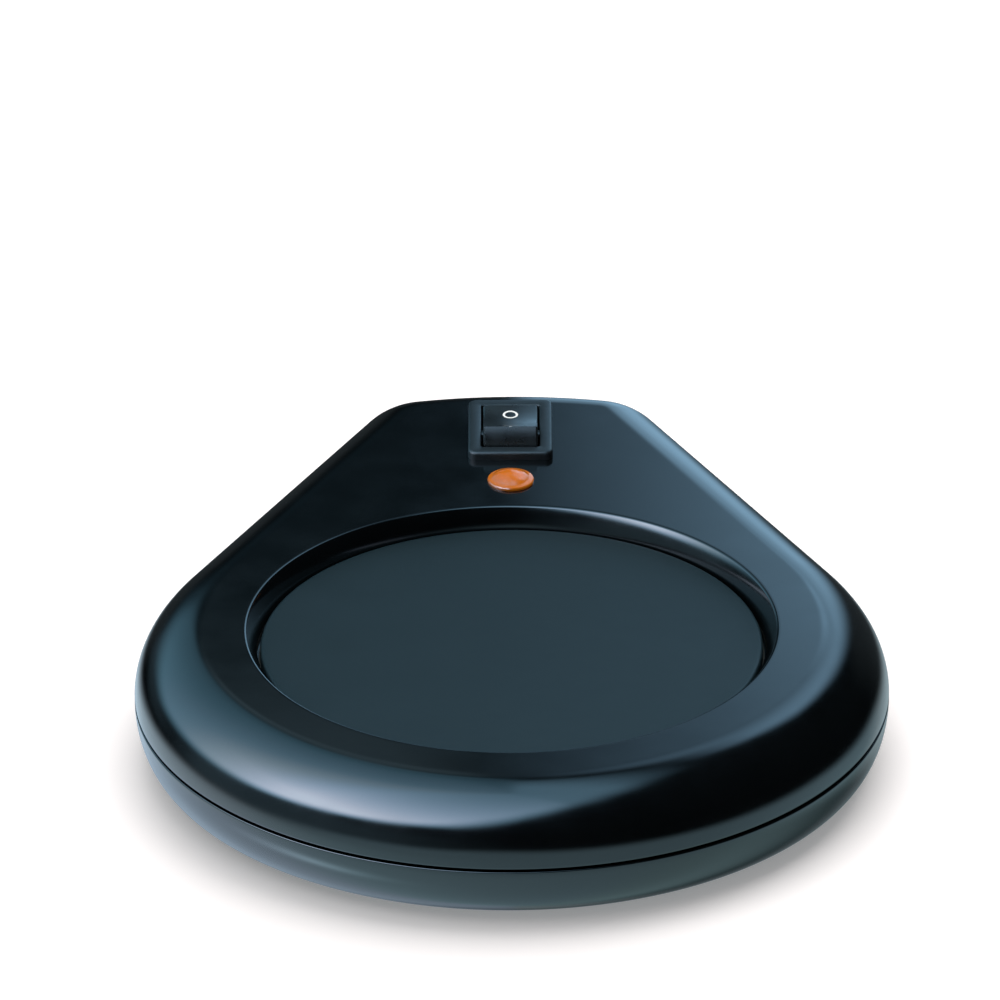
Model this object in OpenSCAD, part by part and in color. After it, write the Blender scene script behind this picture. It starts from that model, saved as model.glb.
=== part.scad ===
// Electric mug warmer: a round hot plate sunk in a two-part plastic housing whose
// tail carries the on/off rocker, the pilot lamp and the cord inlet.
// Millimetres, +Z up. The origin is where the plate's axis meets the table, and the
// tail points along +Y.

/* [Housing outline] */
// Radius of the round front of the housing at the seam
body_r = 67; // [64:0.5:72]
// Room inside the tail between the switch's bezel and the grommet
tail_room = 7.9; // [5:0.1:14]
// Angle between each straight side of the tail and the middle line
tail_angle = 27; // [25:0.5:29]
// Radius of the two tail corners at the seam
tail_corner_r = 14.5; // [14:0.5:18]
// Radius of the slightly bowed end of the tail
tail_bow_r = 90; // [80:5:140]

/* [Housing section] */
// Height of the lower housing's underside above the table
standoff = 1.6; // [1:0.1:2.6]
// Height of the lower housing
lower_h = 10; // [9.5:0.5:14]
// How far the lower housing curves in under the seam
lower_run = 5.5; // [4:0.5:7]
// Shadow gap between the two housings
seam_gap = 0.5; // [0.3:0.1:0.8]
// Height of the upper housing above the seam
upper_h = 12.6; // [12.2:0.1:15]
// How far the outer slope runs in from the seam to the flat land
slope_run = 11.2; // [10:0.2:12]
// Part of a quarter ellipse that the outer slope follows, in degrees
slope_sweep = 75; // [68:1:80]
// Wall thickness of both housings
wall = 2.2; // [1.8:0.1:2.5]
// Thickness of the lower housing's floor
floor_t = 2.2; // [2:0.1:3]
// Thickness of the lip that stands up inside the seam
lip_t = 1.3; // [1:0.1:1.6]
// Height that the lip reaches above the seam
lip_rise = 1.6; // [1:0.1:2]
// Gap between the lip and the upper housing's wall
lip_gap = 0.4; // [0.3:0.1:0.6]

/* [Plate recess] */
// Radius of the recess beside the plate
recess_r = 45.2; // [44.5:0.1:46]
// How far the recess opens out from the plate up to the flat land
rim_flare = 1.9; // [1.3:0.1:2.4]
// Depth of the plate's top below the land
recess_depth = 3.4; // [3:0.1:4.2]
// Width of the ledge that carries the plate
ledge_w = 4.2; // [3.4:0.1:4.8]
// Thickness of that ledge
ledge_t = 1.5; // [1.2:0.1:2]

/* [Warming plate] */
// Gap between the plate's edge and the recess
plate_gap = 0.6; // [0.4:0.1:1]
// Sheet thickness of the plate
plate_t = 1; // [0.8:0.1:1.2]
// Full height of the plate with its turned-down skirt
plate_h = 2.4; // [2:0.1:3]
// Rounding of the plate's edge
plate_edge = 0.7; // [0.4:0.1:0.9]
// Thickness of the gasket under the skirt
gasket_t = 0.8; // [0.6:0.1:1.2]
// Distance from the ledge's inner edge to the circle on which the four studs stand
stud_inset = 11; // [10.5:0.1:11.5]
// Radius of each stud
stud_r = 1.5; // [1.5:0.1:2]

/* [Heater] */
// Thickness of each mica sheet
mica_t = 0.5; // [0.4:0.05:0.7]
// Thickness of the heating ribbon
ribbon_t = 0.3; // [0.2:0.05:0.4]
// Width of the heating ribbon
ribbon_w = 2.6; // [2:0.1:3]
// Number of ribbon rows
ribbon_rows = 9; // [7:2:9]
// Distance from the edge of the heater's pad to the middle of the last row
ribbon_end = 4.4; // [4.2:0.1:5]
// Distance from the edge of the heater's pad to the ribbon
ribbon_edge = 2; // [1.8:0.1:2.4]
// Thickness of the steel clamp plate
clamp_t = 1; // [0.8:0.1:1.4]
// How far the clamp plate laps under the ledge
clamp_lap = 2.5; // [1.5:0.1:3.5]
// Distance that a heater terminal hangs below the clamp plate
terminal_drop = 4.4; // [4:0.1:5]

/* [Thermal fuse] */
// Radius of the fuse's body
fuse_r = 2; // [1.6:0.1:2.2]
// Length of the fuse's body
fuse_len = 12; // [10:0.5:13]
// Radius of the fuse's legs
fuse_leg_r = 0.5; // [0.4:0.1:0.6]
// Wall of the sleeve round the fuse
sleeve_wall = 0.6; // [0.4:0.1:0.8]
// Sheet thickness of the fuse clip
clip_t = 0.5; // [0.4:0.1:0.7]
// Radius of a crimp on the fuse's leg
crimp_r = 1.7; // [1.5:0.1:2]

/* [Switch] */
// Gap between the pilot lamp's lens and the switch bezel
switch_gap = 4; // [3:0.1:6]
// Width of the switch body
switch_w = 13; // [13:0.1:14]
// Length of the switch body
switch_len = 19.2; // [19.2:0.1:20]
// Depth of the switch body under the land
switch_depth = 13.6; // [13:0.1:14.4]
// Wall of the switch body
switch_wall = 1.2; // [1.1:0.1:1.4]
// Height of the switch bezel above the land
bezel_h = 1.6; // [1.4:0.1:2]
// Width of the bezel's flange around the body
bezel_rim = 1.2; // [1:0.1:1.5]
// Depth of the rocker's axis under the bezel's top
pivot_drop = 2; // [1.9:0.1:2.2]
// Radius of the rocker's pins
pivot_r = 0.9; // [0.8:0.05:1]
// Angle that the rocker tips to each side
rocker_tilt = 11; // [9:0.5:12]
// Height of the rocker's middle above its axis
rocker_crown = 2.3; // [2.1:0.1:2.5]
// Depth of the rocker's skirt below its axis
rocker_skirt = 2; // [1.6:0.1:2.4]
// Gap between the rocker and the switch body
rocker_gap = 0.35; // [0.3:0.05:0.5]
// Angle that the contact blade tips to each side
blade_tilt = 6.5; // [5:0.5:7]
// Distance from the blade's axis to its contact
contact_reach = 5; // [4.6:0.1:5.4]
// Height of the blade's axis above the switch floor
blade_axis_h = 2.3; // [2.1:0.1:2.6]

/* [Pilot lamp] */
// Gap between the recess wall and the pilot lamp's lens
lamp_gap = 5.4; // [4.6:0.1:7]
// Radius of the lens barrel in the housing
lens_r = 3.2; // [3:0.1:3.5]
// Height of the lens above the land
lens_h = 1.9; // [1.5:0.1:2.4]
// Radius of the lamp's glass
lamp_r = 2; // [1.8:0.1:2.1]
// Length of the lamp's glass
lamp_len = 9; // [8:0.5:9.5]

/* [Cord inlet] */
// Radius of the cord hole in the grommet
cord_hole_r = 3.1; // [2.6:0.1:3.4]
// Side of the grommet's square neck
neck_side = 8.6; // [8.4:0.1:9]
// Side of the grommet's square flanges
flange_side = 11.6; // [11.2:0.1:12]
// Thickness of the housing wall that the neck sits in
inlet_wall = 3; // [2.8:0.1:3.4]
// Thickness of each flange
flange_t = 1.5; // [1.2:0.1:1.6]

/* [Screws and feet] */
// Distance from the outline to each housing screw
screw_inset = 12; // [11.6:0.1:12.4]
// Angle of the front screws behind the cross line, in degrees
front_screw_angle = -21; // [-28:1:-16]
// Distance of the rear screws along the tail's straight sides
rear_screw_along = 46; // [44:0.5:47]
// Radius of each screw post
post_r = 3.5; // [3.3:0.1:3.8]
// Radius of the housing screws
screw_r = 1.45; // [1.3:0.05:1.5]
// Radius of the screw heads
screw_head_r = 2.7; // [2.5:0.1:2.7]
// Radius of each rubber foot
foot_r = 5.5; // [5:0.1:6]
// Depth that a foot is let into the housing
foot_sink = 0.9; // [0.6:0.1:1.1]
// Distance from the outline to each front foot's centre
foot_inset = 16.5; // [15:0.5:18]
// Distance from the tail's straight side to each rear foot's centre
rear_foot_inset = 14.6; // [14:0.1:16]
// Distance of the rear feet from the tail's end
rear_foot_back = 17; // [16.5:0.5:18]

/* [Vents and leads] */
// Number of vent slots under the heater
vent_count = 16; // [8:1:20]
// Width of each vent slot
vent_w = 2.4; // [1.6:0.1:3]
// Length of each vent slot
vent_len = 14; // [8:1:15]
// Radius of the insulated leads
lead_r = 1.1; // [0.9:0.05:1.1]
// Radius of the pilot lamp's thin leads
thin_lead_r = 0.35; // [0.25:0.05:0.35]
// Outer radius of the closed-end connectors
cap_r = 3.2; // [3:0.1:3.3]
// Distance from a lead to the parts that it passes
lead_clear = 1.1; // [0.9:0.1:1.1]

/* [Clearances] */
// Gap of parts that are only laid into each other
loose_gap = 0.3; // [0.2:0.05:0.4]
// Gap of parts that locate each other
snug_gap = 0.1; // [0.05:0.05:0.15]
// Radial gap of a pin that turns in its hole
running_gap = 0.05; // [0.03:0.01:0.08]

/* [Hidden] */
$fn = 72;

// Colours
gloss_black = "#18232a";
plate_black = "#29383f";
rubber_black = "#1b1c1e";
steel = "#a9adb0";
brass = "#c2a35a";
mica_tan = "#b9a480";
felt_white = "#d8d5ca";
switch_black = "#141516";
lead_white = "#e3e1da";
lead_black = "#222326";

// A cutter reaches this far past the face that it opens
past = 1;

// Heights, from the table up
lower_top = standoff + lower_h;
seam_z = lower_top + seam_gap;
top_z = seam_z + upper_h;
floor_top = standoff + floor_t;
land_under = top_z - wall;
plate_z = top_z - recess_depth;
plate_under = plate_z - plate_t;
ribbon_top = plate_under - mica_t;
ribbon_under = ribbon_top - ribbon_t;
mica_under = ribbon_under - mica_t;
ledge_top = plate_z - plate_h - gasket_t;
ledge_under = ledge_top - ledge_t;
clamp_under = ledge_under - clamp_t;

// Recess, from the ledge out
ledge_r = recess_r - ledge_w;
rim_r = recess_r + rim_flare;
recess_out_r = recess_r + wall;

// Lamp, switch and cord inlet, one behind the other
lens_flange_r = lens_r + 1;
bezel_len = switch_len + 2 * bezel_rim;
lamp_y = recess_out_r + lamp_gap + lens_flange_r;
switch_y = lamp_y + lens_flange_r + switch_gap + bezel_len / 2;
neck_len = inlet_wall + 2 * snug_gap;
spot_y = switch_y + bezel_len / 2 + tail_room + flange_t + neck_len - snug_gap;
spot_depth = 1.7;
tail_end = spot_y + spot_depth;

// Tail outline: the straight sides touch the round front, the corners and the bow
side_out = [cos(tail_angle), sin(tail_angle)];
side_along = [-sin(tail_angle), cos(tail_angle)];
bow_y = tail_end - tail_bow_r;
corner_off = body_r - tail_corner_r;
bow_reach = tail_bow_r - tail_corner_r;
side_mid = bow_y * cos(tail_angle);
side_gap2 = corner_off * corner_off - 2 * bow_y * corner_off * sin(tail_angle) + bow_y * bow_y;
side_len = side_mid + sqrt(side_mid * side_mid - side_gap2 + bow_reach * bow_reach);
corner_c = corner_off * side_out + side_len * side_along;
bow_angle = asin(corner_c.x / bow_reach);

// Outer slope: part of a quarter ellipse, upright at the seam
slope_a = slope_run / (1 - cos(slope_sweep));
slope_b = upper_h / sin(slope_sweep);
slope_steps = 8;
land_margin = 1.5;
land_start = slope_run + land_margin;
slab_overlap = 0.5;

// Plate and heater
plate_r = recess_r - plate_gap;
skirt_in_r = plate_r - plate_t;
mica_r = skirt_in_r - loose_gap * 2;
pad_r = ledge_r - loose_gap * 2;
clamp_r = ledge_r + clamp_lap;
last_row = ribbon_rows - 1;
ribbon_pitch = 2 * (pad_r - ribbon_end) / last_row;
stud_ring_r = ledge_r - stud_inset;
stud_hole_r = stud_r + 2 * snug_gap;
washer_t = 0.5;
washer_r = 2.3 * stud_r;
nut_h = 1.6 * stud_r;
nut_r = 2.1 * stud_r;
stud_end_z = clamp_under - washer_t - nut_h - past;
terminal_w = 4;
terminal_t = 0.8;
terminal_z = clamp_under - terminal_drop;
terminal_in = 2;
terminal_y = last_row / 2 * ribbon_pitch;
terminal_x = row_half(terminal_y) - terminal_in;

// Thermal fuse, clipped under the clamp plate
sleeve_in_r = fuse_r + snug_gap;
sleeve_out_r = sleeve_in_r + sleeve_wall;
fuse_z = clamp_under - snug_gap - sleeve_out_r;
sleeve_len = fuse_len + 6;
crimp_len = 7;
crimp_start = sleeve_len / 2 + 3;
crimp_end = crimp_start + crimp_len;
leg_in_crimp = 3;
clip_w = 6;
clip_tab = 4;

// Switch
switch_under = top_z - switch_depth;
switch_floor = switch_under + switch_wall;
bezel_top = top_z + bezel_h;
pivot_z = bezel_top - pivot_drop;
well_w = switch_w - 2 * switch_wall;
well_len = switch_len - 2 * switch_wall;
rocker_w = well_w - 2 * rocker_gap;
rocker_reach = well_len / 2 - rocker_gap;
pin_seat = 1;
pin_half = well_w / 2 + pin_seat - snug_gap;
latch_w = 4;
latch_h = 2;
latch_step = 0.4;
plunger_boss_r = 2;
plunger_boss_end = 6.6;
plunger_bore_r = 1.35;
plunger_bore_top = 2.4;
plunger_r = 1.2;
plunger_top = 5.6;
plunger_clear = 0.6;
blade_z = switch_floor + blade_axis_h;
blade_w = 3.2;
blade_t = 0.5;
blade_half = contact_reach + 1;
blade_pin_r = 0.6;
blade_top = blade_pin_r + running_gap;
blade_under = blade_top - blade_t;
ear_t = 0.6;
ear_gap = loose_gap;
ear_in = blade_w / 2 + ear_gap;
ear_h = blade_axis_h + 1.2;
base_t = 0.6;
rivet_r = 1;
rivet_h = 0.4;
contact_clear = 0.15;
plunger_gap = pivot_z - blade_z - blade_top / cos(blade_tilt) - plunger_clear;
plunger_y = plunger_gap * tan(rocker_tilt);
plunger_tip = (plunger_gap + plunger_y * tan(blade_tilt)) / cos(rocker_tilt);
rivet_low = rivet_h - blade_under;
contact_low = (contact_reach + rivet_r) * sin(blade_tilt) + rivet_low * cos(blade_tilt);
contact_top = blade_z - contact_low - contact_clear;
tab_w = 4.8;
tab_t = 0.8;
tab_end = switch_under - 5.5;
receptacle_w = tab_w + 2 * (snug_gap + 0.7);
receptacle_d = tab_t + 2 * (snug_gap + 0.8);
receptacle_top = switch_under - 0.5;
receptacle_h = 5.2;
line_y = switch_y + contact_reach;

// Pilot lamp
lens_flange_t = 0.7;
lens_wall = lens_r - lamp_r - loose_gap - snug_gap;
lens_barrel = 6.6;
lens_steps = 6;
lamp_top = top_z - loose_gap;
lamp_z = lamp_top - lamp_len;
resistor_r = 1.2;
resistor_len = 6.3;
resistor_c = [6, lamp_y + 1, floor_top + 5.2];

// Cord inlet
inlet_z = lower_top + seam_gap / 2;
inlet_in_y = spot_y - inlet_wall;
neck_hole = neck_side + 2 * snug_gap;
flange_hole = flange_side + 2 * loose_gap;
inlet_block = flange_side + 4;

// Screws and feet
screw_ring_r = body_r - screw_inset;
rear_screw = screw_ring_r * side_out + rear_screw_along * side_along;
front_screw = screw_ring_r * [cos(front_screw_angle), sin(front_screw_angle)];
screw_points = [for (side = [-1, 1], p = [front_screw, rear_screw]) [side * p.x, p.y]];
post_edge = screw_inset - post_r;
post_top = seam_z + slope_b * sin(acos(1 - post_edge / slope_a)) - wall / 2;
screw_seat = standoff + 4;
screw_head_h = 1.8;
screw_reach = 8;
foot_angle = -45;
front_foot = (body_r - foot_inset) * [cos(foot_angle), sin(foot_angle)];
rear_foot_y = tail_end - rear_foot_back;
rear_foot = [(body_r - rear_foot_inset - rear_foot_y * sin(tail_angle)) / cos(tail_angle), rear_foot_y];
foot_stem_r = 2;
foot_barb_r = 2.7;
foot_barb_h = 0.9;
vent_start = 20;

// Closed-end connectors, lying on the floor beside the switch
cap_len = 14;
cap_bore_r = 2.4;
cap_bore_len = 9;
cap_x = rear_screw.x - post_r - cap_r - 2 * (lead_r + lead_clear);
cap_mouth_y = switch_y;
cap_z = floor_top + cap_r + snug_gap;
lead_in_cap = 4.5;

// Lead routes: the ends meet their terminals, the points between are laid by hand
straight = 2.5;
tab_side = receptacle_w / 2 + running_gap;
tab_out = tab_side + straight;
crimp_side = crimp_end + running_gap;
strip_side = terminal_y + terminal_t / 2 + running_gap;
strip_z = terminal_z + lead_r + snug_gap;
cap_end_y = cap_mouth_y - lead_in_cap;
cap_side = cap_x + cap_r + lead_clear + lead_r;
to_cap = cap_x - tab_out;
line_route = [
    [tab_side, line_y, 7.5], [tab_out, line_y, 7.5], [tab_out + to_cap / 3, line_y + 1.2, 7.3],
    [tab_out + 2 * to_cap / 3, line_y + 1.4, 7.2], [cap_x - 0.6, line_y - 0.6, cap_z],
    [cap_x, cap_mouth_y + 1, cap_z], [cap_x, cap_end_y, cap_z]
];
switched_route = [
    [tab_side, switch_y, 7.5], [tab_out, switch_y, 7.5], [9.2, switch_y - 2.6, 7.2],
    [10.2, switch_y - 7, 7.2], [10.2, lamp_y + 5, 7.2], [9.5, lamp_y - 7, 7.5], [14, 38, 8], [22, 26, 8.5],
    [28, 12, 9.5], [27.8, 4, 11.4], [crimp_side + straight, 0, fuse_z], [crimp_side, 0, fuse_z]
];
heater_route = [
    [-crimp_side, 0, fuse_z], [-crimp_side - straight, 0, fuse_z], [-27.8, -5, 11], [-28, -17, 10],
    [-22, -31, 10], [-10, -41, 10.5], [2, -46, 11.2], [10.5, -46, 12],
    [terminal_x, -strip_side - straight, strip_z], [terminal_x, -strip_side, strip_z]
];
neutral_route = [
    [-cap_x, cap_end_y, cap_z], [-cap_x, cap_mouth_y, cap_z], [-cap_x - 1.6, cap_mouth_y + 3.8, 7.1],
    [-cap_side + 0.4, cap_mouth_y + 4.2, 7.1], [-cap_side - 1, cap_mouth_y, 7.1],
    [-cap_side, cap_mouth_y - 6, 7.1], [-cap_side, cap_mouth_y - 12, 7.1],
    [-cap_side + 0.9, lamp_y - 1, 8], [-17.8, recess_out_r + 0.1, 10.5],
    [-terminal_x, strip_side + straight, strip_z], [-terminal_x, strip_side, strip_z]
];
lamp_feed_route = [
    [0.8, lamp_y, lamp_z], [0.9, lamp_y, 13.5], [2.4, lamp_y - 1, 11], [4.8, lamp_y - 2.4, 9.3],
    [6, lamp_y - 1.4, resistor_c.z], resistor_c
];
lamp_tail_route = [
    resistor_c + [0, resistor_len, 0], [6, switch_y - 8.5, 9], [6.4, switch_y - 4.5, 9.2],
    [tab_out, switch_y, 9.6], [tab_side, switch_y, 9.6]
];
lamp_neutral_route = [
    [-0.8, lamp_y, lamp_z], [-0.9, lamp_y, 13.5], [-3, lamp_y - 0.4, 11], [-7, lamp_y + 0.5, 9.2],
    [-cap_x + 6.2, lamp_y + 4, 8.2], [-cap_x + 5.8, switch_y - 9, 7.8], [-cap_x + 5.4, switch_y - 2, 8],
    [-cap_x + 3.6, cap_mouth_y + 2.6, 8.6], [-cap_x + 1, cap_mouth_y + 3.4, 8.7],
    [-cap_x, cap_mouth_y + 1, cap_z + 1.7], [-cap_x, cap_end_y + 1, cap_z + 1.7]
];
lead_sides = 8;
route_steps = 4;
spring_r = 0.95;
spring_wire_r = 0.18;
spring_turns = 5;
spring_steps = 14;

// ---- Functions ----

// Points of an arc about c, from angle a0 to a1, first and last included
function arc(c, r, a0, a1, n) =
    [for (i = [0:n]) c + r * [cos(a0 + (a1 - a0) * i / n), sin(a0 + (a1 - a0) * i / n)]];

// The middle points of a list
function inner(list) = [for (i = [1:len(list) - 2]) list[i]];

// Outline of the housing seen from above, drawn in by inset, without the points where arcs meet
function outline(inset) = concat(
    inner(arc([0, 0], body_r - inset, 180 - tail_angle, 360 + tail_angle, 72)),
    inner(arc(corner_c, tail_corner_r - inset, tail_angle, 90 - bow_angle, 8)),
    inner(arc([0, bow_y], tail_bow_r - inset, 90 - bow_angle, 90 + bow_angle, 8)),
    inner(arc([-corner_c.x, corner_c.y], tail_corner_r - inset, 90 + bow_angle, 180 - tail_angle, 8))
);

// Point of a quarter ellipse with half-axes a and b at angle t, moved in by depth
function ellipse_point(a, b, t, depth) =
    let (n = [b * cos(t), a * sin(t)] / norm([b * cos(t), a * sin(t)]))
    [-a * (1 - cos(t)), b * sin(t)] - depth * n;

// Half length of the heating ribbon's row at distance y from the middle
function row_half(y) = sqrt(pow(pad_r - ribbon_edge, 2) - pow(abs(y) + ribbon_w / 2, 2));

// Distance of row i from the middle
function row_y(i) = (i - last_row / 2) * ribbon_pitch;

// A smooth curve through the points of a route
function smooth(p, steps) = concat(
    [for (i = [0:len(p) - 2], k = [0:steps - 1])
        let (a = i > 0 ? p[i - 1] : 2 * p[0] - p[1])
        let (b = p[i], c = p[i + 1])
        let (d = i < len(p) - 2 ? p[i + 2] : 2 * c - b)
        let (u = k / steps)
        0.5 * (2 * b + (c - a) * u + (2 * a - 5 * b + 4 * c - d) * u * u
            + (3 * b - 3 * c + d - a) * u * u * u)],
    [p[len(p) - 1]]
);

// The same curve with its first and last stretches straight, so that its ends are square
function lead_path(route) =
    let (p = smooth(route, route_steps), last = len(p) - 1)
    concat([p[0]], [for (i = [route_steps:last - route_steps]) p[i]], [p[last]]);

// Direction of a curve at point i
function heading(p, i) =
    let (v = p[min(i + 1, len(p) - 1)] - p[max(i - 1, 0)])
    v / norm(v);

// The part of v that is square to direction t, at length 1
function square_to(v, t) = (v - (v * t) * t) / norm(v - (v * t) * t);

// ---- Shared shapes ----

// Carries a section round the whole outline; the section's x is 0 at the outline
module along_outline() {
    rotate([0, 0, 180 - tail_angle])
        rotate_extrude(angle = 180 + 2 * tail_angle)
            translate([body_r, 0]) children();
    for (side = [0, 1]) mirror([side, 0, 0]) {
        rotate([0, 0, tail_angle])
            translate([body_r, side_len, 0])
                rotate([90, 0, 0]) linear_extrude(side_len) children();
        translate([0, bow_y])
            rotate([0, 0, 90 - bow_angle])
                translate([bow_reach, 0])
                    mirror([0, 1, 0]) rotate_extrude(angle = 90 - bow_angle - tail_angle)
                        translate([tail_corner_r, 0]) children();
    }
    translate([0, bow_y])
        rotate([0, 0, 90 - bow_angle])
            rotate_extrude(angle = 2 * bow_angle)
                translate([tail_bow_r, 0]) children();
}

// A flat slab inside the outline
module outline_slab(inset, z, height) {
    translate([0, 0, z]) linear_extrude(height) polygon(outline(inset));
}

// A box by its lowest and highest corners
module box(low, high) {
    translate(low) cube(high - low);
}

// A round hole or pin along X, centred on c
module along_x(c, r, length) {
    translate(c) rotate([0, 90, 0]) cylinder(r = r, h = length, center = true);
}

// A block with rounded upright edges, centred on x and y
module rounded_block(size, r, z) {
    hx = size.x / 2 - r;
    hy = size.y / 2 - r;
    translate([0, 0, z])
        linear_extrude(size.z)
            polygon(concat(
                arc([hx, hy], r, 0, 90, 5), arc([-hx, hy], r, 90, 180, 5),
                arc([-hx, -hy], r, 180, 270, 5), arc([hx, -hy], r, 270, 360, 5)
            ));
}

// A round tube of radius r along a list of points
module tube(path, r) {
    count = len(path);
    start = square_to(abs(heading(path, 0).z) < 0.9 ? [0, 0, 1] : [1, 0, 0], heading(path, 0));
    sides = [for (i = 0, u = start; i < count; u = square_to(u, heading(path, min(i + 1, count - 1))),
        i = i + 1) u];
    rings = [for (i = [0:count - 1], k = [0:lead_sides - 1])
        let (a = 360 * k / lead_sides)
        path[i] + r * (cos(a) * sides[i] + sin(a) * cross(heading(path, i), sides[i]))];
    walls = [for (i = [0:count - 2], k = [0:lead_sides - 1])
        let (j = (k + 1) % lead_sides)
        [i * lead_sides + k, (i + 1) * lead_sides + k, (i + 1) * lead_sides + j, i * lead_sides + j]];
    first = [[for (k = [0:lead_sides - 1]) k]];
    last = [[for (k = [lead_sides - 1:-1:0]) (count - 1) * lead_sides + k]];
    polyhedron(rings, concat(walls, first, last));
}

// An insulated lead along a smooth route
module lead(route, r) {
    tube(lead_path(route), r);
}

// ---- Housings ----

module upper_section() {
    outer = [for (i = [0:slope_steps])
        ellipse_point(slope_a, slope_b, slope_sweep * i / slope_steps, 0)];
    inside = [for (i = [slope_steps - 1:-1:0])
        ellipse_point(slope_a, slope_b, slope_sweep * i / slope_steps, wall)];
    polygon(concat(outer, [[-land_start, upper_h], [-land_start, upper_h - wall]], inside));
}

module recess_void() {
    rotate_extrude()
        polygon([
            [0, ledge_under - past], [ledge_r, ledge_under - past], [ledge_r, ledge_top],
            [recess_r, ledge_top], [recess_r, plate_z], [rim_r, top_z], [rim_r, top_z + past],
            [0, top_z + past]
        ]);
}

// Square neck hole and flange seat of the cord inlet
module inlet_void() {
    translate([0, spot_y, inlet_z]) {
        box([-neck_hole / 2, -inlet_wall - past, -neck_hole / 2], [neck_hole / 2, past, neck_hole / 2]);
        box([-flange_hole / 2, 0, -flange_hole / 2], [flange_hole / 2, tail_end, flange_hole / 2]);
    }
}

module upper_housing() {
    color(gloss_black) difference() {
        union() {
            translate([0, 0, seam_z]) along_outline() upper_section();
            outline_slab(land_start - slab_overlap, land_under, wall);
            translate([0, 0, ledge_under])
                cylinder(r = recess_out_r, h = top_z - ledge_under);
            for (p = screw_points)
                translate([p.x, p.y, seam_z]) cylinder(r = post_r, h = post_top - seam_z);
            box([-inlet_block / 2, inlet_in_y, seam_z],
                [inlet_block / 2, spot_y + flange_t / 2, inlet_z + flange_side / 2 + wall / 2]);
        }
        recess_void();
        inlet_void();
        for (p = screw_points)
            translate([p.x, p.y, seam_z - past])
                cylinder(r = screw_r + running_gap, h = screw_reach + past + past);
        translate([0, switch_y, land_under - past])
            linear_extrude(wall + 2 * past)
                square([switch_w + 2 * snug_gap, switch_len + 2 * snug_gap], center = true);
        translate([0, lamp_y, land_under - past])
            cylinder(r = lens_r + snug_gap, h = wall + 2 * past);
    }
}

module lower_section() {
    outer = [for (i = [0:slope_steps])
        let (p = ellipse_point(lower_run, lower_h, 90 * i / slope_steps, 0)) [p.x, -p.y]];
    inside = [for (i = [slope_steps - 1:-1:2])
        let (p = ellipse_point(lower_run, lower_h, 90 * i / slope_steps, wall)) [p.x, -p.y]];
    lip_out = wall + lip_gap;
    lip_in = lip_out + lip_t;
    lip_top = seam_gap + lip_rise;
    floor_start = lower_run + land_margin;
    polygon(concat(
        outer,
        [[-floor_start, -lower_h], [-floor_start, floor_t - lower_h]],
        [for (p = inside) if (p.y > floor_t - lower_h) p],
        [[-lip_in, -2 * lip_t], [-lip_in, lip_top], [-lip_out, lip_top], [-lip_out, 0]]
    ));
}

// Round post that carries a housing screw
module screw_post(p) {
    translate([p.x, p.y, standoff]) cylinder(r = post_r, h = seam_z - standoff);
}

module screw_void(p) {
    translate([p.x, p.y, standoff - past]) {
        cylinder(r = screw_r + 2 * snug_gap, h = lower_h + 4 * past);
        cylinder(r = screw_head_r + snug_gap, h = screw_seat - standoff + past);
    }
}

module foot_void(p) {
    translate([p.x, p.y, standoff - past]) {
        cylinder(r = foot_r + snug_gap, h = foot_sink + past);
        cylinder(r = foot_stem_r + snug_gap, h = floor_t + 2 * past);
    }
}

module lower_housing() {
    feet = [for (side = [-1, 1], p = [front_foot, rear_foot]) [side * p.x, p.y]];
    color(gloss_black) difference() {
        union() {
            difference() {
                translate([0, 0, lower_top]) along_outline() lower_section();
                box([-inlet_block / 2 - loose_gap, inlet_in_y - 2 * wall, lower_top],
                    [inlet_block / 2 + loose_gap, tail_end, top_z]);
            }
            outline_slab(lower_run + land_margin - slab_overlap, standoff, floor_t);
            for (p = screw_points) screw_post(p);
            box([-inlet_block / 2, inlet_in_y, floor_top - floor_t / 2],
                [inlet_block / 2, spot_y, lower_top]);
        }
        inlet_void();
        for (p = screw_points) screw_void(p);
        for (p = feet) foot_void(p);
        for (i = [0:vent_count - 1])
            rotate([0, 0, 360 * i / vent_count])
                box([vent_start, -vent_w / 2, standoff - past],
                    [vent_start + vent_len, vent_w / 2, floor_top + past]);
    }
}

// ---- Warming plate and heater ----

module warming_plate() {
    color(plate_black) rotate_extrude()
        polygon(concat(
            [[0, plate_z]],
            arc([plate_r - plate_edge, plate_z - plate_edge], plate_edge, 90, 0, 4),
            [
                [plate_r, plate_z - plate_h], [skirt_in_r, plate_z - plate_h],
                [skirt_in_r, plate_under], [0, plate_under]
            ]
        ));
}

module plate_gasket() {
    color(felt_white) translate([0, 0, ledge_top]) difference() {
        cylinder(r = recess_r - loose_gap, h = gasket_t);
        translate([0, 0, -past]) cylinder(r = ledge_r + loose_gap, h = gasket_t + 2 * past);
    }
}

// Repeats a shape at the four studs
module at_studs() {
    for (a = [45:90:315]) rotate([0, 0, a]) translate([stud_ring_r, 0, 0]) children();
}

// Repeats a shape at the two heater terminals
module at_terminals() {
    for (turn = [0, 180]) rotate([0, 0, turn]) translate([-terminal_x, terminal_y, 0]) children();
}

module plate_studs() {
    color(steel) at_studs()
        translate([0, 0, stud_end_z]) cylinder(r = stud_r, h = plate_under - stud_end_z);
}

// A disc of the heater stack with holes for the studs
module stack_disc(r, z, t) {
    difference() {
        translate([0, 0, z]) cylinder(r = r, h = t);
        at_studs() translate([0, 0, z - past]) cylinder(r = stud_hole_r, h = t + 2 * past);
    }
}

// Slots for the two heater terminals through a sheet
module terminal_slots(z, t, gap) {
    at_terminals()
        box([-terminal_w / 2 - gap, -terminal_t / 2 - gap, z - past],
            [terminal_w / 2 + gap, terminal_t / 2 + gap, z + t + past]);
}

module mica_top() {
    color(mica_tan) stack_disc(mica_r, ribbon_top, mica_t);
}

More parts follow.
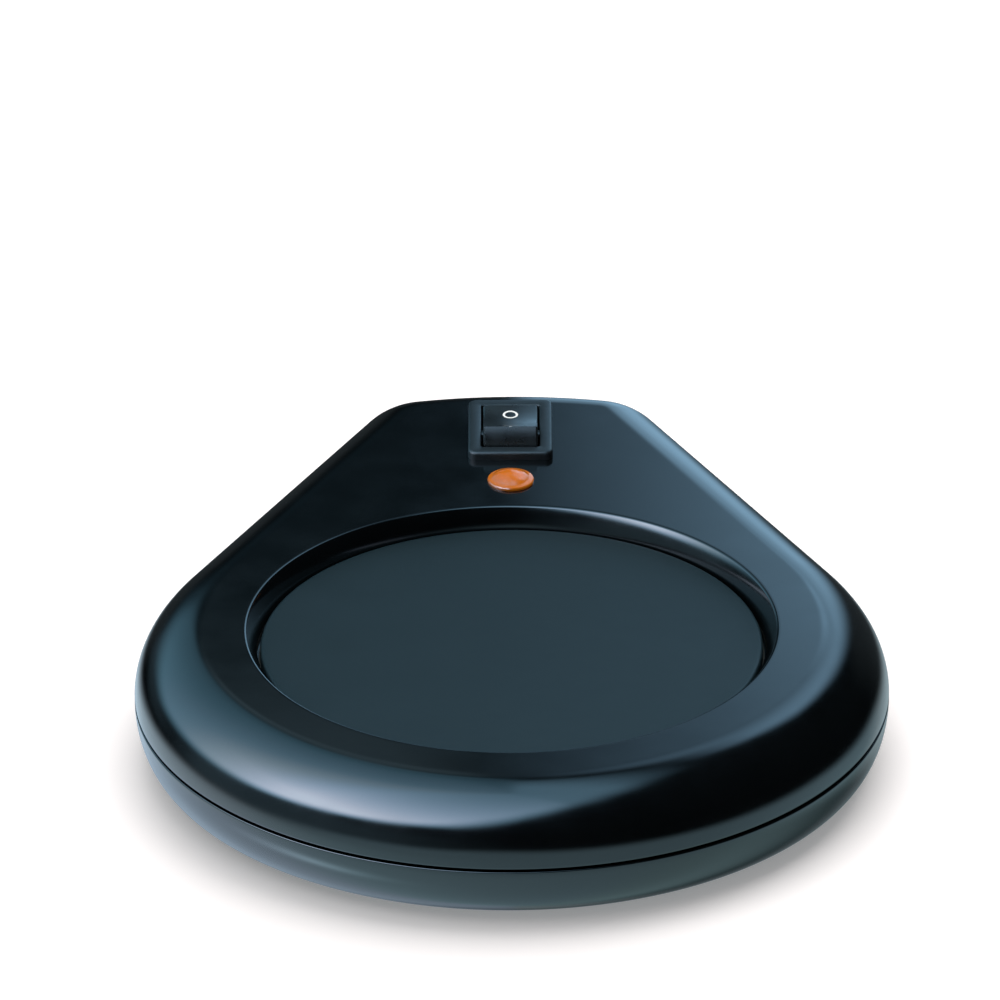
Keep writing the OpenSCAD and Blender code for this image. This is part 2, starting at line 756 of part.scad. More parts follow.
module mica_bottom() {
    color(mica_tan) difference() {
        stack_disc(mica_r, mica_under, mica_t);
        terminal_slots(mica_under, mica_t, snug_gap);
    }
}

module heating_ribbon() {
    color(steel) translate([0, 0, ribbon_under]) linear_extrude(ribbon_t) {
        for (i = [0:last_row])
            translate([-row_half(row_y(i)), row_y(i) - ribbon_w / 2])
                square([2 * row_half(row_y(i)), ribbon_w]);
        for (i = [0:last_row - 1]) {
            side = i % 2 == 0 ? -1 : 1;
            reach = min(row_half(row_y(i)), row_half(row_y(i + 1))) - ribbon_w / 2;
            translate([side * reach, row_y(i) + ribbon_pitch / 2])
                square([ribbon_w, ribbon_pitch], center = true);
        }
    }
}

module insulation_pad() {
    color(felt_white) difference() {
        stack_disc(pad_r, ledge_under, mica_under - ledge_under);
        terminal_slots(ledge_under, mica_under - ledge_under, loose_gap);
    }
}

module clamp_plate() {
    color(steel) difference() {
        stack_disc(clamp_r, clamp_under, clamp_t);
        terminal_slots(clamp_under, clamp_t, 2 * loose_gap);
    }
}

module stud_washers() {
    color(steel) at_studs() translate([0, 0, clamp_under - washer_t]) difference() {
        cylinder(r = washer_r, h = washer_t);
        translate([0, 0, -past]) cylinder(r = stud_r + snug_gap, h = washer_t + 2 * past);
    }
}

module stud_nuts() {
    color(steel) at_studs() translate([0, 0, clamp_under - washer_t - nut_h]) difference() {
        cylinder(r = nut_r, h = nut_h, $fn = 6);
        translate([0, 0, -past]) cylinder(r = stud_r + running_gap, h = nut_h + 2 * past);
    }
}

module heater_terminals() {
    color(brass) at_terminals()
        box([-terminal_w / 2, -terminal_t / 2, terminal_z],
            [terminal_w / 2, terminal_t / 2, ribbon_under]);
}

// ---- Thermal fuse ----

module thermal_fuse() {
    leg_end = crimp_start + leg_in_crimp;
    color(steel) union() {
        along_x([0, 0, fuse_z], fuse_r, fuse_len);
        along_x([0, 0, fuse_z], fuse_leg_r, 2 * leg_end);
    }
}

module fuse_sleeve() {
    color(felt_white) difference() {
        along_x([0, 0, fuse_z], sleeve_out_r, sleeve_len);
        along_x([0, 0, fuse_z], sleeve_in_r, sleeve_len + 2 * past);
    }
}

module fuse_clip() {
    in_r = sleeve_out_r + snug_gap;
    out_r = in_r + clip_t;
    color(steel) difference() {
        union() {
            along_x([0, 0, fuse_z], out_r, clip_w);
            box([-clip_w / 2, -out_r, fuse_z], [clip_w / 2, out_r, clamp_under]);
            box([-clip_w / 2, -out_r - clip_tab, clamp_under - clip_t],
                [clip_w / 2, out_r + clip_tab, clamp_under]);
        }
        along_x([0, 0, fuse_z], in_r, clip_w + 2 * past);
        box([-clip_w / 2 - past, -in_r, fuse_z], [clip_w / 2 + past, in_r, clamp_under + past]);
    }
}

module fuse_crimps() {
    for (side = [-1, 1])
        color(brass) difference() {
            along_x([side * (crimp_start + crimp_end) / 2, 0, fuse_z], crimp_r, crimp_len);
            along_x([side * (crimp_start + leg_in_crimp / 2), 0, fuse_z],
                fuse_leg_r + snug_gap, leg_in_crimp + 2 * snug_gap);
        }
}

// ---- Switch ----

module tab_slot(y) {
    box([-tab_w / 2 - snug_gap, y - tab_t / 2 - snug_gap, switch_under - past],
        [tab_w / 2 + snug_gap, y + tab_t / 2 + snug_gap, switch_floor + past]);
}

module switch_body() {
    color(switch_black) difference() {
        union() {
            translate([0, switch_y, 0]) {
                rounded_block([switch_w + 2 * bezel_rim, bezel_len, bezel_h], 1.5, top_z);
                box([-switch_w / 2, -switch_len / 2, switch_under], [switch_w / 2, switch_len / 2, top_z]);
                box([-latch_w / 2, -switch_len / 2 - latch_step, land_under - snug_gap - latch_h],
                    [latch_w / 2, switch_len / 2 + latch_step, land_under - snug_gap]);
            }
        }
        translate([0, switch_y, 0])
            box([-well_w / 2, -well_len / 2, switch_floor], [well_w / 2, well_len / 2, bezel_top + past]);
        along_x([0, switch_y, pivot_z], pivot_r + running_gap, well_w + 2 * pin_seat);
        tab_slot(switch_y);
        tab_slot(line_y);
    }
}

// Places a shape that is drawn about the rocker's axis in its off position
module in_rocker() {
    translate([0, switch_y, pivot_z]) rotate([-rocker_tilt, 0, 0]) children();
}

module rocker() {
    wing = rocker_reach + past;
    rise = wing * tan(rocker_tilt);
    color(switch_black) in_rocker() difference() {
        union() {
            intersection() {
                translate([-rocker_w / 2, 0, 0]) rotate([90, 0, 90]) linear_extrude(rocker_w)
                    polygon([
                        [-wing, -rocker_skirt], [wing, -rocker_skirt], [wing, rocker_crown + rise],
                        [0, rocker_crown], [-wing, rocker_crown + rise]
                    ]);
                along_x([0, 0, 0], rocker_reach, rocker_w + 2 * past);
            }
            along_x([0, 0, 0], pivot_r, 2 * pin_half);
            translate([0, 0, -plunger_boss_end])
                cylinder(r = plunger_boss_r, h = plunger_boss_end - rocker_skirt / 2);
        }
        translate([0, 0, -plunger_boss_end - past])
            cylinder(r = plunger_bore_r, h = plunger_boss_end - plunger_bore_top + past);
    }
}

module rocker_plunger() {
    round_c = plunger_tip - plunger_r;
    color(brass) in_rocker() rotate_extrude()
        polygon(concat(
            [[0, -plunger_top]],
            [[plunger_r, -plunger_top]],
            arc([0, -round_c], plunger_r, 0, -84, 6),
            [[0, -plunger_tip]]
        ));
}

module plunger_spring() {
    low = plunger_top - spring_wire_r - snug_gap / 2;
    high = plunger_bore_top + spring_wire_r + snug_gap / 2;
    count = spring_turns * spring_steps;
    coil = [for (i = [0:count])
        let (a = 360 * i / spring_steps)
        [spring_r * cos(a), spring_r * sin(a), -low + (low - high) * i / count]];
    color(steel) in_rocker() tube(coil, spring_wire_r);
}

module contact_blade() {
    color(brass) translate([0, switch_y, blade_z]) rotate([blade_tilt, 0, 0]) {
        box([-blade_w / 2, -blade_half, blade_under], [blade_w / 2, blade_half, blade_top]);
        along_x([0, 0, 0], blade_pin_r, 2 * (ear_in + ear_t));
        translate([0, contact_reach, -rivet_low])
            cylinder(r = rivet_r, h = rivet_h + blade_t / 2);
    }
}

module terminal_tab(y) {
    box([-tab_w / 2, y - tab_t / 2, tab_end], [tab_w / 2, y + tab_t / 2, switch_floor + base_t / 2]);
}

module terminal_common() {
    ear_half = 1.3;
    color(brass) difference() {
        union() {
            terminal_tab(switch_y);
            translate([0, switch_y, switch_floor]) {
                box([-ear_in - ear_t, -ear_half, 0], [ear_in + ear_t, ear_half, base_t]);
                for (side = [-1, 1])
                    translate([side * (ear_in + ear_t / 2), 0, ear_h / 2])
                        cube([ear_t, 2 * ear_half, ear_h], center = true);
            }
        }
        along_x([0, switch_y, blade_z], blade_pin_r + running_gap, 2 * (ear_in + ear_t) + 2 * past);
    }
}

module terminal_line() {
    color(brass) union() {
        terminal_tab(line_y);
        translate([0, line_y, switch_floor]) {
            box([-1.6, -1.2, 0], [1.6, 1.2, base_t]);
            cylinder(r = rivet_r + 2 * snug_gap, h = contact_top - switch_floor);
        }
    }
}

module terminal_receptacles() {
    for (y = [switch_y, line_y])
        color(brass) translate([0, y, receptacle_top - receptacle_h]) difference() {
            box([-receptacle_w / 2, -receptacle_d / 2, 0], [receptacle_w / 2, receptacle_d / 2, receptacle_h]);
            box([-tab_w / 2 - snug_gap, -tab_t / 2 - snug_gap, -past],
                [tab_w / 2 + snug_gap, tab_t / 2 + snug_gap, receptacle_h + past]);
        }
}

// ---- Pilot lamp ----

module indicator_lens() {
    dome_h = lens_h - lens_flange_t;
    dome_edge = lens_flange_r - lens_flange_t;
    dome_r = (dome_edge * dome_edge + dome_h * dome_h) / (2 * dome_h);
    dome_half = asin(dome_edge / dome_r);
    cavity_r = lens_r - lens_wall;
    color("#e08a1e") translate([0, lamp_y, top_z]) rotate_extrude()
        polygon(concat(
            [[0, lens_h - lens_wall]],
            [[0, lens_h]],
            [for (i = [1:lens_steps])
                let (a = 90 - dome_half * i / lens_steps)
                [dome_r * cos(a), lens_h - dome_r + dome_r * sin(a)]],
            [
                [lens_flange_r, lens_flange_t / 2], [lens_flange_r, 0], [lens_r, 0],
                [lens_r, -wall - snug_gap], [lens_r + latch_step, -wall - 2 * snug_gap],
                [lens_r, -lens_barrel + 2 * past], [lens_r, -lens_barrel],
                [cavity_r, -lens_barrel], [cavity_r, lens_h - 2 * lens_wall]
            ]
        ));
}

module neon_lamp() {
    color("#d9b9a6") translate([0, lamp_y, lamp_z]) rotate_extrude()
        polygon(concat(
            [[0, 0], [lamp_r, 0]],
            arc([0, lamp_len - lamp_r], lamp_r, 0, 84, 6),
            [[0, lamp_len]]
        ));
}

module lamp_resistor() {
    color("#caa46a") translate(resistor_c) rotate([-90, 0, 0]) cylinder(r = resistor_r, h = resistor_len);
}

module lamp_lead_switched() {
    color(lead_black) {
        lead(lamp_feed_route, thin_lead_r);
        lead(lamp_tail_route, thin_lead_r);
    }
}

module lamp_lead_neutral() {
    color(lead_white) lead(lamp_neutral_route, thin_lead_r);
}

// ---- Leads ----

module lead_line() {
    color(lead_black) lead(line_route, lead_r);
}

module lead_switched() {
    color(lead_black) lead(switched_route, lead_r);
}

module lead_heater() {
    color(lead_white) lead(heater_route, lead_r);
}

module lead_neutral() {
    color(lead_white) lead(neutral_route, lead_r);
}

module wire_caps() {
    for (side = [-1, 1])
        color("#c9c4b4") translate([side * cap_x, cap_mouth_y, cap_z]) rotate([90, 0, 0]) difference() {
            cylinder(r = cap_r, h = cap_len);
            translate([0, 0, -past]) cylinder(r = cap_bore_r, h = cap_bore_len + past);
        }
}

// ---- Cord inlet, screws and feet ----

module cord_grommet() {
    half_f = flange_side / 2;
    half_n = neck_side / 2;
    full_len = neck_len + 2 * flange_t;
    color(rubber_black) translate([0, spot_y + snug_gap, inlet_z]) difference() {
        union() {
            box([-half_f, 0, -half_f], [half_f, flange_t, half_f]);
            box([-half_n, -neck_len - flange_t / 2, -half_n], [half_n, flange_t / 2, half_n]);
            box([-half_f, -neck_len - flange_t, -half_f], [half_f, -neck_len, half_f]);
        }
        translate([0, flange_t + past, 0]) rotate([90, 0, 0])
            cylinder(r = cord_hole_r, h = full_len + 2 * past);
    }
}

module housing_screws() {
    for (p = screw_points)
        color(steel) translate([p.x, p.y, screw_seat]) difference() {
            union() {
                translate([0, 0, -screw_head_h]) cylinder(r = screw_head_r, h = screw_head_h);
                cylinder(r = screw_r, h = seam_z - screw_seat + screw_reach - past);
            }
            for (turn = [0, 90]) rotate([0, 0, turn])
                translate([0, 0, -screw_head_h])
                    cube([0.7 * screw_head_r * 2, 0.7, 2], center = true);
        }
}

module foot(p) {
    foot_top = standoff + foot_sink;
    color(rubber_black) translate([p.x, p.y, 0]) rotate_extrude()
        polygon([
            [0, 0], [foot_r - 0.8, 0], [foot_r, 0.8], [foot_r, foot_top], [foot_stem_r, foot_top],
            [foot_stem_r, floor_top + snug_gap], [foot_barb_r, floor_top + snug_gap],
            [foot_stem_r, floor_top + snug_gap + foot_barb_h], [0, floor_top + snug_gap + foot_barb_h]
        ]);
}

module foot_front_left() { foot([-front_foot.x, front_foot.y]); }

module foot_front_right() { foot(front_foot); }

module foot_rear_left() { foot([-rear_foot.x, rear_foot.y]); }

module foot_rear_right() { foot(rear_foot); }

upper_housing();
lower_housing();
warming_plate();
plate_gasket();
plate_studs();
mica_top();
heating_ribbon();
mica_bottom();
insulation_pad();
clamp_plate();
stud_washers();
stud_nuts();
heater_terminals();
thermal_fuse();
fuse_sleeve();
fuse_clip();
fuse_crimps();
switch_body();
rocker();
rocker_plunger();
plunger_spring();
contact_blade();
terminal_common();
terminal_line();
terminal_receptacles();
indicator_lens();
neon_lamp();
lamp_resistor();
lamp_lead_switched();
lamp_lead_neutral();
lead_line();
lead_switched();
lead_heater();
lead_neutral();
wire_caps();
cord_grommet();
housing_screws();
foot_front_left();
foot_front_right();
foot_rear_left();
foot_rear_right();
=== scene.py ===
"""Looks of the electric mug warmer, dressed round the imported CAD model.

The housings, the warming plate, the rocker switch, the pilot lens, the grommet and the feet are
new surfaces. The heater, the wiring and the fasteners keep their CAD shapes and get finishes.
Sizes in the functions are in millimetres; the meshes are in metres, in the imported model's frame.
"""

from math import acos, asin, atan2, cos, dist, pi, radians, sin, sqrt, tan

import bpy
import bmesh
import numpy as np
from mathutils import Matrix, Vector
from mathutils.geometry import delaunay_2d_cdt


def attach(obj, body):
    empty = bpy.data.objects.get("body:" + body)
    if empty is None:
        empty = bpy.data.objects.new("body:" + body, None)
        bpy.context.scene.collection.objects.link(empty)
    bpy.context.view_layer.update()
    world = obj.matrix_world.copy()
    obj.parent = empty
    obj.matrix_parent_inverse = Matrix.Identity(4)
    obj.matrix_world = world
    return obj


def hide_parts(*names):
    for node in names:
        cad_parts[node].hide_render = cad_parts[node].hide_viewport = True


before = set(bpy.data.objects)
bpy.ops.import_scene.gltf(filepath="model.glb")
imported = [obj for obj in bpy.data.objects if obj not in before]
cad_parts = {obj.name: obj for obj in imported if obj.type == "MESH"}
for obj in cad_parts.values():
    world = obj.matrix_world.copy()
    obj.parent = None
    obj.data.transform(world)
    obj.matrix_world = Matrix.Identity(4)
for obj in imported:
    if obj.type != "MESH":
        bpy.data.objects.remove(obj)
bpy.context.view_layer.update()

bl_info = {
    "name": "Mug Warmer Looks",
    "version": (1, 0, 0),
    "blender": (4, 5, 0),
    "location": "3D View > Sidebar > Mug Warmer",
    "description": "Builds the housings, plate, switch and finishes of an electric mug warmer",
    "category": "Object",
}

MM = 0.001

# Points nearer than MERGE metres are one, edges under TINY metres vanish, and edges that turn
# more than SHARP degrees stay sharp
MERGE, TINY, SHARP = 4e-7, 1e-8, 32


# ---- Sizes and colours that a user would change ----


def linear(code):
    """A linear RGB triple from an sRGB hex value, by the sRGB curve."""
    parts = [int(code[i : i + 2], 16) / 255 for i in (1, 3, 5)]
    return tuple(c / 12.92 if c <= 0.04045 else ((c + 0.055) / 1.055) ** 2.4 for c in parts)


def length(label, text, millimetres):
    """A length property in metres, with its default given in millimetres."""
    return bpy.props.FloatProperty(
        name=label, description=text, default=millimetres * MM, min=0.0,
        unit="LENGTH", subtype="DISTANCE", precision=5,
    )


def tint(label, text, code):
    """A colour property with its default given as an sRGB hex value."""
    return bpy.props.FloatVectorProperty(
        name=label, description=text, default=linear(code), size=3, min=0.0, max=1.0,
        subtype="COLOR",
    )


class WarmerSizes(bpy.types.PropertyGroup):
    """Sizes of the new surfaces, which stay equal to those of the CAD part."""

    body_r: length("Body radius", "Radius of the round front", 67)
    corner_r: length("Tail corner radius", "Radius of the two corners of the tail", 14.5)
    bow_r: length("Tail bow radius", "Radius of the bowed end of the tail", 90)
    tail_end: length("Tail end", "Distance from the plate's axis to the end of the tail", 101)
    underside: length("Underside height", "Height of the underside above the table", 1.6)
    lower_top: length("Lower edge height", "Height of the lower housing's outer edge", 11.6)
    seam_z: length("Seam height", "Height of the upper housing's outer edge", 12.1)
    top_z: length("Land height", "Height of the flat land round the recess", 24.7)
    slope_run: length("Slope half axis", "Inward half axis of the slope's ellipse", 15.11)
    slope_rise: length("Slope height axis", "Upward half axis of the slope's ellipse", 13.04)
    crest_soft: length("Crest softness", "Inset where the slope starts to roll over into the land", 9.7)
    rim_r: length("Rim radius", "Radius of the recess at the land", 47.1)
    recess_r: length("Recess radius", "Radius of the recess round the plate", 45.2)
    rim_soft: length("Rim rounding", "Radius of the rounded rim of the recess", 0.6)
    plate_r: length("Plate radius", "Radius of the warming plate", 44.6)
    plate_z: length("Plate height", "Height of the plate's upper face", 21.3)
    wall: length("Wall", "Wall of both housings", 2.2)


class WarmerColours(bpy.types.PropertyGroup):
    """Colours of the finishes."""

    housing: tint("Housing", "Gloss ABS of the two housings", "#06090b")
    plate: tint("Plate", "Baked non-stick coating of the warming plate", "#0f1a1c")
    switch: tint("Switch", "Satin nylon of the switch's bezel", "#101314")
    rocker: tint("Rocker", "Moulded rocker", "#15191b")
    lens: tint("Lens", "Amber polycarbonate of the pilot lens", "#e8801a")
    rubber: tint("Rubber", "Grommet and feet", "#1b1d1e")
    marks: tint("Marks", "Printed on and off marks", "#e6e8e6")


def sizes(*names):
    """Sizes in millimetres, as kept in the scene's sizes."""
    return [getattr(bpy.context.scene.warmer_sizes, name) / MM for name in names]


def colour(name):
    """A linear RGB triple, as kept in the scene's colours."""
    return tuple(getattr(bpy.context.scene.warmer_colours, name))


# ---- Surfaces ----


def outline_curve():
    """The housing's plan, counterclockwise, as (x, y) of its points and of their outward normals.

    The round front runs from 153 to 387 degrees, then come a straight side, a corner, the bowed
    end, a corner and a side. The sides touch the front at 27 degrees; the corners' centres lie
    one corner radius inside the side and inside the bow.
    """
    front, corner, bow, end = sizes("body_r", "corner_r", "bow_r", "tail_end")
    side = radians(27)
    bow_y = end - bow
    off, reach = front - corner, bow - corner
    # Along the side's direction from its foot: where it is one reach from the bow's centre
    foot = np.array([cos(side), sin(side)]) * off
    along = np.array([-sin(side), cos(side)])
    to_foot = foot - np.array([0, bow_y])
    b = along @ to_foot
    run = -b + sqrt(b * b - to_foot @ to_foot + reach * reach)
    centre = foot + run * along
    half_bow = atan2(centre[0], centre[1] - bow_y)
    parts = []

    def span(middle, radius, angles, slides, count):
        """Points at middle + radius * normal + slide * tangent, with their normals."""
        a, slide = (np.linspace(*ends, count, endpoint=False)[:, None] for ends in (angles, slides))
        n = np.hstack([np.cos(a), np.sin(a)])
        parts.append((middle + radius * n + slide * n[:, ::-1] * [-1, 1], n))

    span((0, 0), front, (pi - side, 2 * pi + side), (0, 0), 208)
    span((0, 0), front, (side, side), (0, run), 30)
    span(centre, corner, (side, pi / 2 - half_bow), (0, 0), 20)
    span((0, bow_y), bow, (pi / 2 - half_bow, pi / 2 + half_bow), (0, 0), 24)
    span(centre * [-1, 1], corner, (pi / 2 + half_bow, pi - side), (0, 0), 20)
    span((0, 0), front, (pi - side, pi - side), (-run, 0), 30)
    return [np.concatenate(part).T for part in zip(*parts)]


def stacked(x, y, z):
    """Points from their three coordinates, spread to one shape."""
    return np.stack(np.broadcast_arrays(x, y, z), -1)


def swept(curve, profile):
    """Rings of a profile carried along the plan: point minus inset times normal, at height z."""
    (x, y), (nx, ny) = curve
    inset, z = np.array(profile, float).T[:, :, None]
    return stacked(x - inset * nx, y - inset * ny, z)


def turned(profile, centre=(0, 0), count=48):
    """Rings of a profile of (radius, height) turned round an upright axis through the centre."""
    a = np.linspace(0, 2 * pi, count, endpoint=False)
    radius, z = np.array(profile, float).T[:, :, None]
    return stacked(centre[0] + radius * np.cos(a), centre[1] + radius * np.sin(a), z)


def squared(rows, centre=(0, 0), corner_steps=8):
    """Rings of rounded rectangles, one for each row of (half width, half length, corner, height).

    A ring is four quarter arcs of the corner's radius about the four inner corners, so a row
    whose corner equals both halves is a circle, and all rings share the same point order.
    """
    starts = np.arange(4) * pi / 2
    a = np.concatenate([np.linspace(q, q + pi / 2, corner_steps) for q in starts])
    sx, sy = np.repeat([[1, -1, -1, 1], [1, 1, -1, -1]], corner_steps, 1)
    w, l, r, z = np.array(rows, float).T[:, :, None]
    x, y = sx * (w - r) + r * np.cos(a), sy * (l - r) + r * np.sin(a)
    return stacked(centre[0] + x, centre[1] + y, z)


def round_over(start, corner, end, steps):
    """A quadratic curve from start to end that leaves and arrives along the lines to the corner."""
    t = np.linspace(0, 1, steps)[:, None]
    start, corner, end = (np.array(p, float) for p in (start, corner, end))
    return ((1 - t) ** 2 * start + 2 * t * (1 - t) * corner + t * t * end).tolist()


class Shell:
    """Collects rings and flat fills in millimetres, and makes them one mesh of closed shells."""

    def __init__(self):
        self.points, self.faces, self.count = [], [], 0

    def add(self, points, faces):
        self.points.append(points)
        self.faces += (np.asarray(faces) + self.count).tolist()
        self.count += len(points)

    def loft(self, rings, ends="open"):
        """Four-sided faces from each ring to the next, with open, capped or joined ends."""
        rows, cols = rings.shape[:2]
        index = np.arange(rows * cols).reshape(rows, cols)
        if ends == "joined":
            index = np.concatenate([index, index[:1]])
        right = np.roll(index, -1, 1)
        faces = np.stack([index[:-1], right[:-1], right[1:], index[1:]], -1).reshape(-1, 4)
        self.add(rings.reshape(-1, 3), faces)
        if ends == "capped":
            self.add(rings[0], [np.arange(cols)])
            self.add(rings[-1], [np.arange(cols)])
        return self

    def fill(self, outer, holes):
        """Flat triangles at one height inside the outer ring and outside every hole ring.

        The rings become the fixed edges of a Delaunay triangulation. A triangle stays if a line
        from its middle crosses the rings an odd number of times.
        """
        touching, sliver = 1e-7, 1e-4
        loops = [outer, *holes]
        plan = np.concatenate([ring[:, :2] for ring in loops])
        edges, start = [], 0
        for ring in loops:
            index = np.arange(len(ring)) + start
            edges.append(np.stack([index, np.roll(index, -1)], 1))
            start += len(ring)
        edges = np.concatenate(edges)
        found = delaunay_2d_cdt([Vector(p) for p in plan.tolist()], edges.tolist(), [], 0, touching)
        if len(found[0]) != len(plan):
            raise RuntimeError("a flat fill has rings that cross or repeat a point")
        triangles = np.array(found[2])
        middle = plan[triangles].mean(1)
        (ax, ay), (bx, by) = plan[edges[:, 0]].T, plan[edges[:, 1]].T
        x, y = middle.T[:, :, None]
        spans = (ay > y) != (by > y)
        # A level edge spans no height, so any rise will do for it
        rise = np.where(by == ay, 1, by - ay)
        crossings = (spans & (x < ax + (y - ay) * (bx - ax) / rise)).sum(1)
        # Slivers between points on one straight side have no height and aren't part of the fill
        (ux, uy), (vx, vy) = (plan[triangles[:, i]].T - plan[triangles[:, 0]].T for i in (1, 2))
        tall = np.abs(ux * vy - uy * vx) / np.maximum(np.hypot(ux, uy), np.hypot(vx, vy)) > sliver
        self.add(np.concatenate(loops), triangles[(crossings % 2 == 1) & tall])

    def build(self, name, move=None, cuts=(), joins=(), extras=()):
        """The finished object: joined, cut, sharp by angle; extras only touch and are added."""
        item = plain_object(name, self)
        for mode, tools in (("UNION", joins), ("DIFFERENCE", cuts)):
            for tool in tools:
                combine(item, tool, mode)
        if extras:
            merged = bmesh.new()
            merged.from_mesh(item.data)
            for extra in extras:
                part = plain_object("part", extra)
                merged.from_mesh(part.data)
                discard(part)
            merged.to_mesh(item.data)
            merged.free()
        if move is not None:
            item.data.transform(move)
        item.data.shade_smooth()
        item.data.set_sharp_from_angle(angle=radians(SHARP))
        item.data.update()
        return item


def plain_object(name, shell):
    """An object in metres from a shell in millimetres, with doubles merged and faces outward."""
    mesh = bpy.data.meshes.new(name)
    mesh.from_pydata((np.concatenate(shell.points) * MM).tolist(), [], shell.faces)
    work = bmesh.new()
    work.from_mesh(mesh)
    bmesh.ops.remove_doubles(work, verts=work.verts, dist=MERGE)
    bmesh.ops.dissolve_degenerate(work, edges=work.edges, dist=TINY)
    bmesh.ops.recalc_face_normals(work, faces=work.faces)
    work.to_mesh(mesh)
    work.free()
    item = bpy.data.objects.new(name, mesh)
    bpy.context.scene.collection.objects.link(item)
    return item


def discard(item):
    """Removes an object and its mesh."""
    mesh = item.data
    bpy.data.objects.remove(item)
    bpy.data.meshes.remove(mesh)


def combine(item, tool, mode):
    """Joins a tool shell to an object, or cuts it away, and removes the tool."""
    cutter = plain_object("cutter", tool)
    modifier = item.modifiers.new("Combine", "BOOLEAN")
    modifier.operation, modifier.solver, modifier.object = mode, "EXACT", cutter
    view = bpy.context.evaluated_depsgraph_get()
    result = bpy.data.meshes.new_from_object(item.evaluated_get(view), depsgraph=view)
    item.modifiers.remove(modifier)
    old = item.data
    item.data = result
    result.name = item.name
    bpy.data.meshes.remove(old)
    discard(cutter)


def along_y(rings, centre):
    """Rings drawn round an upright axis, laid down so that their height runs along +Y."""
    x, y, z = np.moveaxis(rings, -1, 0)
    return stacked(centre[0] + x, centre[1] + z, centre[2] - y)


def rounded(form, edge, z, degrees, way=1):
    """Rows for squared along a rounded edge: a quarter circle about the height z.

    At 90 degrees the form (half width, half length, corner) is whole; at 0 it is smaller by the
    edge all round and stands one edge above z, or below it if way is -1. A negative edge grows.
    """
    return [
        (*(side - edge * (1 - sin(t)) for side in form), z + way * abs(edge) * cos(t))
        for t in np.radians(degrees)
    ]


def block(low, high, edge):
    """A box with rounded edges, whose corners are a hair more than the edge so that none vanish."""
    centre = ((low[0] + high[0]) / 2, (low[1] + high[1]) / 2)
    form = ((high[0] - low[0]) / 2, (high[1] - low[1]) / 2, edge * 1.001 + 0.01)
    rows = rounded(form, edge, low[2] + edge, (0, 30, 60, 90), -1)
    rows += rounded(form, edge, high[2] - edge, (90, 60, 30, 0))
    return Shell().loft(squared(rows, centre, 4), "capped")


def inner_ellipse(run, rise, wall, t):
    """Inset and height of an ellipse at angles t, moved inward by the wall along its normal."""
    nx, nz = rise * np.cos(t), run * np.sin(t)
    unit = np.hypot(nx, nz)
    return run * (1 - np.cos(t)) + wall * nx / unit, rise * np.sin(t) - wall * nz / unit


# ---- Finishes ----


def add_node(tree, kind, inputs=None, **settings):
    """Adds a node with its properties, sets or links its inputs, and returns its outputs."""
    node = tree.nodes.new(kind)
    for key, value in settings.items():
        setattr(node, key, value)
    for key, value in (inputs or {}).items():
        socket = node.inputs[key]
        if isinstance(value, bpy.types.NodeSocket):
            tree.links.new(value, socket)
        else:
            socket.default_value = value
    return node.outputs


def new_material(name):
    """A material and its empty node tree."""
    material = bpy.data.materials.new(name)
    material.use_nodes = True
    material.node_tree.nodes.clear()
    return material, material.node_tree


def close_material(tree, surface):
    """Links a surface to the material's output."""
    add_node(tree, "ShaderNodeOutputMaterial", {"Surface": surface})


# Even colour and soft satin skin of extruded or moulded insulation
SLEEVE = (0.08, 2.5, 0.45, 0.06, 0.006, 0.6, 1.45)

